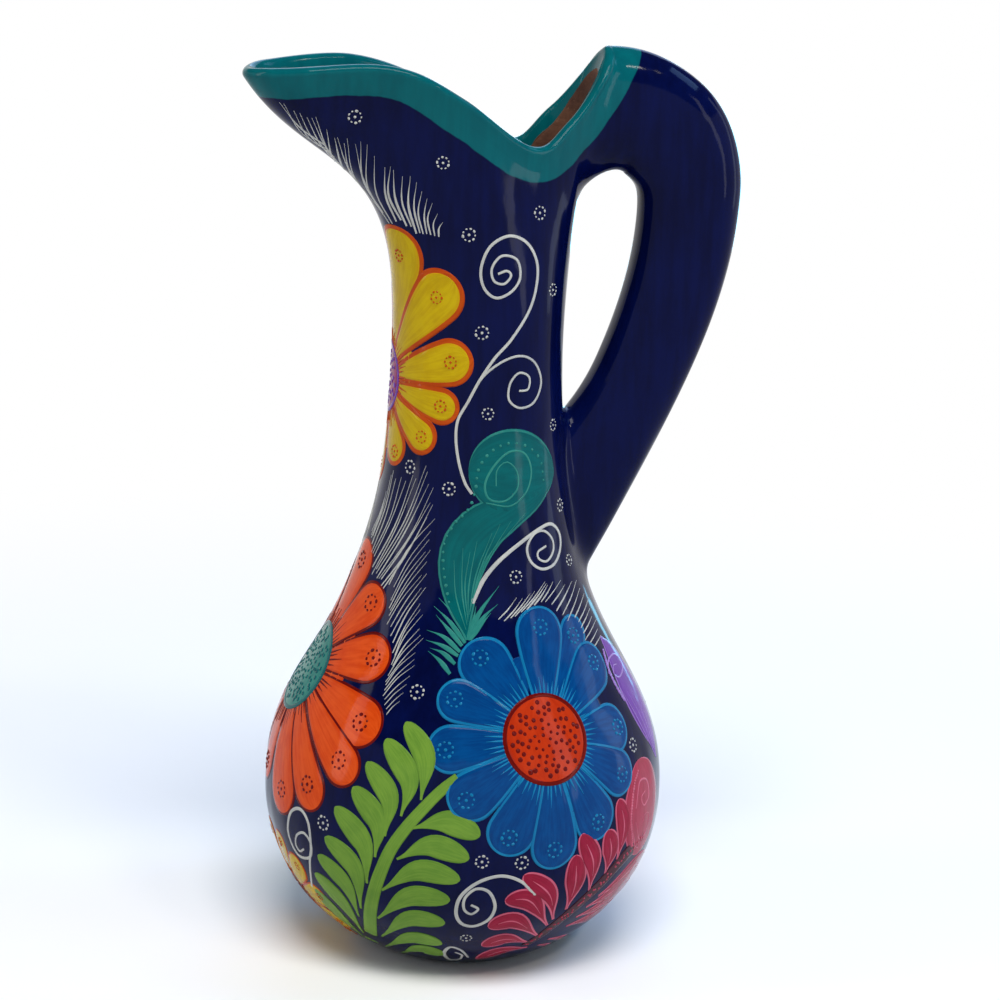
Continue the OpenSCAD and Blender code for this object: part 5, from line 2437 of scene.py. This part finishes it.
class MeltedClay:
    """The body's envelope and the handle made one skin of small cells, for the clay in their corners.

    Attributes:
        grain: Size of a cell in millimetres.
        floor_z: Height below which the body is left out.
        core_z: Height of the point that closes the mouth.
        inner_turns: Half turns over the lip to which the envelope goes on.
        points: The cells' corners in millimetres.
        faces: The corners of each cell.
        gap: How far each corner is from the place where the two forms meet.
    """

    grain = 0.9
    floor_z = 120.0
    core_z = 325.0
    inner_turns = (0.75, 1.0)

    def __init__(self, body: ClayBody, skin: Skin, handle: Object) -> None:
        """Joins the two closed forms and divides their common skin into cells.

        Args:
            body: The body.
            skin: Its outer skin.
            handle: The pulled handle.
        """
        rows = body.skin_rows()
        over = body.form.lip_round(body.angles, np.array(self.inner_turns) * math.pi)
        rows = np.concatenate([rows[rows[:, 0, 2] > self.floor_z], over])
        shell = np.vstack([rows.reshape(-1, 3), [rows[0].mean(axis=0)], [(0.0, 0.0, self.core_z)]])
        tube = mesh_points(handle)
        sides = [tuple(face.vertices) for face in handle.data.polygons]
        faces = capped_faces(len(rows), body.columns)
        faces += [tuple(k + len(shell) for k in side) for side in sides]
        joined = mesh_object("melted clay", np.vstack([shell, tube]), faces)
        cells = joined.modifiers.new("cells", "REMESH")
        cells.mode = "VOXEL"
        cells.voxel_size = self.grain * MM
        baked(joined)
        self.points = mesh_points(joined)
        corners = np.empty(len(joined.data.loops), np.int32)
        joined.data.loops.foreach_get("vertex_index", corners)
        self.faces = corners.reshape(-1, QUAD)
        bpy.data.objects.remove(joined)
        search = BVHTree.FromPolygons(tube.tolist(), sides)
        self.gap = np.array([self._gap(point, skin, search) for point in self.points])

    def _gap(self, point: Array, skin: Skin, search: BVHTree) -> float:
        """How far a point of one form is from the other; far for what is inside the mouth.

        Args:
            point: The point.
            skin: The body's skin.
            search: The handle's faces.

        Returns:
            The distance in millimetres.
        """
        far, buried = 40.0, -0.6
        away = search.find_nearest(Vector(point))[3]
        if away > far:
            return away
        place, normal = skin.nearest(point)
        depth = float(np.dot(point - place, normal))
        return max(depth, away) if depth > buried else far


@dataclass
class Lute:
    """Clay pressed into a corner between the handle and the body, smoothed until no crease is left.

    Attributes:
        name: The piece's name.
        node: The solid that it stands for.
        heights: The heights between which the corner lies.
        reach: How far the clay spreads from the corner.
        rounds: Rounds of smoothing.
        sink: How far its thin edge goes under the skin.
        shell: Its thickness.
        free: Shares of the reach over which the smoothing ends.
        edge: Shares of the reach over which the clay sinks.
        rim_free: Distances from the rim over which the smoothing begins.
        rim_edge: Distances from the rim over which the sinking ends.
        pull: How far a point goes towards its neighbours in one round.
    """

    name: str
    node: str
    heights: Pair
    reach: float
    rounds: int
    sink: float = 0.3
    shell: float = 1.2
    free: Pair = (0.45, 0.9)
    edge: Pair = (0.5, 0.9)
    rim_free: Pair = (2.0, 8.0)
    rim_edge: Pair = (0.5, 4.5)
    pull: float = 0.6

    def build(self, clay: MeltedClay, glaze: Material, form: JugForm,
              skin: Skin) -> Object:
        """Makes the clay.

        Args:
            clay: The common skin of the body and the handle.
            glaze: Its finish.
            form: The clay's form.
            skin: The body's skin.

        Returns:
            The piece.
        """
        low, high = self.heights
        inside = (clay.gap < self.reach) & (clay.points[:, 2] > low) & (clay.points[:, 2] < high)
        used, corners = np.unique(clay.faces[inside[clay.faces].all(axis=1)], return_inverse=True)
        corners = corners.reshape(-1, QUAD)
        share = clay.gap[used] / self.reach
        gaps = rim_gaps(clay.points[used], form, skin)
        piece = mesh_object(self.name, clay.points[used], corners.tolist())
        normals = mesh_points(piece, "normal")
        free = (1 - eased(share, *self.free)) * eased(gaps, *self.rim_free)
        points = self._smoothed(clay.points[used], normals, corners, free)
        edge = np.maximum(eased(share, *self.edge), 1 - eased(gaps, *self.rim_edge))
        points = points - normals * (self.sink * edge)[:, None]
        piece.data.vertices.foreach_set("co", (points * MM).ravel())
        shell = piece.modifiers.new("shell", "SOLIDIFY")
        shell.thickness = self.shell * MM
        shell.offset = -1.0
        baked(piece)
        set_floats(piece, "rim_gap", rim_gaps(mesh_points(piece), form, skin))
        piece.data.materials.append(glaze)
        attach(piece, BODY)
        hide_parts(self.node)
        return piece

    def _smoothed(self, points: Array, normals: Array, corners: Array,
                  share: Array) -> Array:
        """Draws the points towards their neighbours again and again, and never under the first skin.

        Args:
            points: The points.
            normals: Their normals.
            corners: The four corners of each cell.
            share: How freely each point may move.

        Returns:
            The points where they come to rest.
        """
        edges = np.vstack([corners[:, [k, (k + 1) % QUAD]] for k in range(QUAD)])
        here, there = np.vstack([edges, edges[:, ::-1]]).T
        total = len(points)
        count = np.maximum(np.bincount(here, minlength=total), 1)
        first = points
        for _ in range(self.rounds):
            mean = np.stack([np.bincount(here, axis[there], total) / count for axis in points.T], axis=1)
            points = points + (mean - points) * (self.pull * share)[:, None]
            sunk = np.minimum(np.sum((points - first) * normals, axis=1), 0)
            points = points - normals * sunk[:, None]
        return points


# The studio


@dataclass(frozen=True)
class Window:
    """A tall soft light.

    Attributes:
        name: Its name.
        azimuth: Where it stands round the jug, in degrees from the camera, to the right.
        height: Height of its middle in metres.
        distance: Distance from the jug.
        size: Its width and height.
        radiance: How bright its face is, where 1 is white.
        tint: Its colour.
    """

    name: str
    azimuth: float
    height: float
    distance: float
    size: Pair
    radiance: float
    tint: Tone = (1.0, 1.0, 1.0)

    def build(self, view: Viewpoint) -> None:
        """Makes the light, turned to the jug.

        Args:
            view: The camera, from which its place is counted.
        """
        lamp = bpy.data.lights.new(self.name, "AREA")
        lamp.shape = "RECTANGLE"
        lamp.size, lamp.size_y = self.size
        lamp.energy = self.radiance * math.pi * self.size[0] * self.size[1]
        lamp.color = self.tint
        turn = math.radians(view.azimuth + self.azimuth)
        away = Vector((math.sin(turn), -math.cos(turn), 0.0))
        piece = bpy.data.objects.new(self.name, lamp)
        piece.location = away * self.distance + Vector((0, 0, self.height))
        aim = Vector((0, 0, view.aim_z * MM)) - piece.location
        piece.rotation_euler = aim.to_track_quat("-Z", "Y").to_euler()
        bpy.context.scene.collection.objects.link(piece)


class Studio:
    """A pale floor, soft light all round and a few tall windows.

    Attributes:
        windows: The lights.
        ambient: Strength of the light all round.
        floor_size: Length of the floor's sides in metres.
        wall_height: Height of the walls round it.
        floor_tone: The floor's colour.
        worn_tone: Its colour where it is worn.
        worn_share: How much the wear shows.
        shadow_to: Distance from the jug to which the floor takes its shadow in full.
        white_from: Distance from which it is plain white.
    """

    windows = (
        Window("left window", -78.0, 0.65, 1.7, (0.3, 1.7), 5.0, (1.0, 0.97, 0.93)),
        Window("right window", 62.0, 0.55, 2.0, (0.22, 1.6), 4.5, (0.97, 0.98, 1.0)),
        Window("far right window", 104.0, 0.5, 1.6, (0.25, 1.4), 2.5, (0.75, 0.87, 1.0)),
        Window("sky behind", 165.0, 0.17, 1.5, (1.0, 0.32), 5.5, (0.2, 0.70, 1.0)),
        Window("high sky", 95.0, 1.72, 1.5, (0.9, 0.4), 8.0, (0.3, 0.55, 1.0)),
        Window("far sky", 174.0, 1.25, 1.4, (1.3, 0.8), 3.5, (0.45, 0.62, 1.0)),
        Window("warm lamp", 45.7, 1.71, 1.54, (0.4, 0.1), 45.0, (1.0, 0.93, 0.82)),
        Window("overhead", 8.0, 2.6, 1.3, (1.6, 1.0), 14.0))
    ambient = 0.12
    floor_size = 26.0
    wall_height = 6.0
    floor_tone = (0.88, 0.88, 0.88)
    worn_tone = (0.8, 0.8, 0.8)
    worn_share = 0.01
    shadow_to = 0.18
    white_from = 0.75

    def build(self, view: Viewpoint) -> None:
        """Makes the floor, the world and the lights.

        Args:
            view: The camera, from which the lights are placed.
        """
        for window in self.windows:
            window.build(view)
        world = bpy.data.worlds.new("studio")
        bpy.context.scene.world = world
        world.use_nodes = True
        graph = Graph(world.node_tree)
        world.node_tree.nodes.clear()
        glow = graph.node("ShaderNodeBackground", inputs={"Color": (1, 1, 1, 1), "Strength": self.ambient})
        end = world.node_tree.nodes.new("ShaderNodeOutputWorld")
        world.node_tree.links.new(glow.socket, end.inputs["Surface"])
        self._floor()
        bpy.context.scene.view_settings.view_transform = "Standard"

    def _floor(self) -> None:
        """The floor: pale near the jug, where it takes the shadow, white further off and on the walls."""
        half, top = self.floor_size / 2 / MM, self.wall_height / MM
        corners = ((-half, -half), (half, -half), (half, half), (-half, half))
        points = np.array([(x, y, z) for z in (0.0, top) for x, y in corners])
        floor = mesh_object("floor", points, [tuple(range(QUAD))] + ring_faces(2, QUAD))
        finish = Finish("floor")
        x, y, _ = finish.parts(finish.spot())
        far = finish.math("SQRT", x * x + y * y).step(self.shadow_to, self.white_from)
        path = finish.tree.nodes.new("ShaderNodeLightPath")
        camera, glossy, clear = [Term(finish, path.outputs[name]) for name in
                                 ("Is Camera Ray", "Is Glossy Ray", "Is Transmission Ray")]
        shown = (camera + glossy + clear).clamped()
        grain = self.worn_share * finish.noise(finish.spot(), scale=40.0)
        matt = finish.node("ShaderNodeBsdfDiffuse",
                           inputs={"Color": finish.tone(grain, self.floor_tone, self.worn_tone)})
        white = finish.node("ShaderNodeEmission", inputs={"Color": (1, 1, 1, 1), "Strength": 1.0})
        both = finish.node("ShaderNodeMixShader", inputs={0: far * shown, 1: matt, 2: white})
        end = finish.tree.nodes.new("ShaderNodeOutputMaterial")
        finish.tree.links.new(both.socket, end.inputs["Surface"])
        floor.data.materials.append(finish.material)


def main() -> None:
    """Builds the camera, the clay, the paint and the studio."""
    logging.basicConfig(level=logging.INFO, format="%(name)s: %(message)s")
    view = Viewpoint()
    view.build()
    form = JugForm()
    body = ClayBody(form)
    skin = Skin(body.skin_rows(), view)
    clay = BareClay().material()
    glaze = JugGlaze("cobalt glaze").material()
    handle = Handle(form).build(glaze, skin)
    melted = MeltedClay(body, skin, handle)
    lutes = (Lute("top lute", "handle_top_lute", heights=(285.0, 400.0), reach=24.0, rounds=700),
             Lute("foot lute", "handle_foot_lute", heights=(140.0, 270.0), reach=13.0, rounds=160))
    pieces = [body.build(glaze, clay, skin), Lip(body).build(JugGlaze("lip glaze").material(), skin), handle]
    pieces += [lute.build(melted, glaze, form, skin) for lute in lutes]
    for piece in pieces:
        LOG.info("%s: %d faces", piece.name, len(piece.data.polygons))
    painting = Painting(skin)
    Ornament(painting).paint()
    LOG.info("%d painted pieces", len(painting.build()))
    Studio().build(view)


if __name__ == "__main__":
    main()
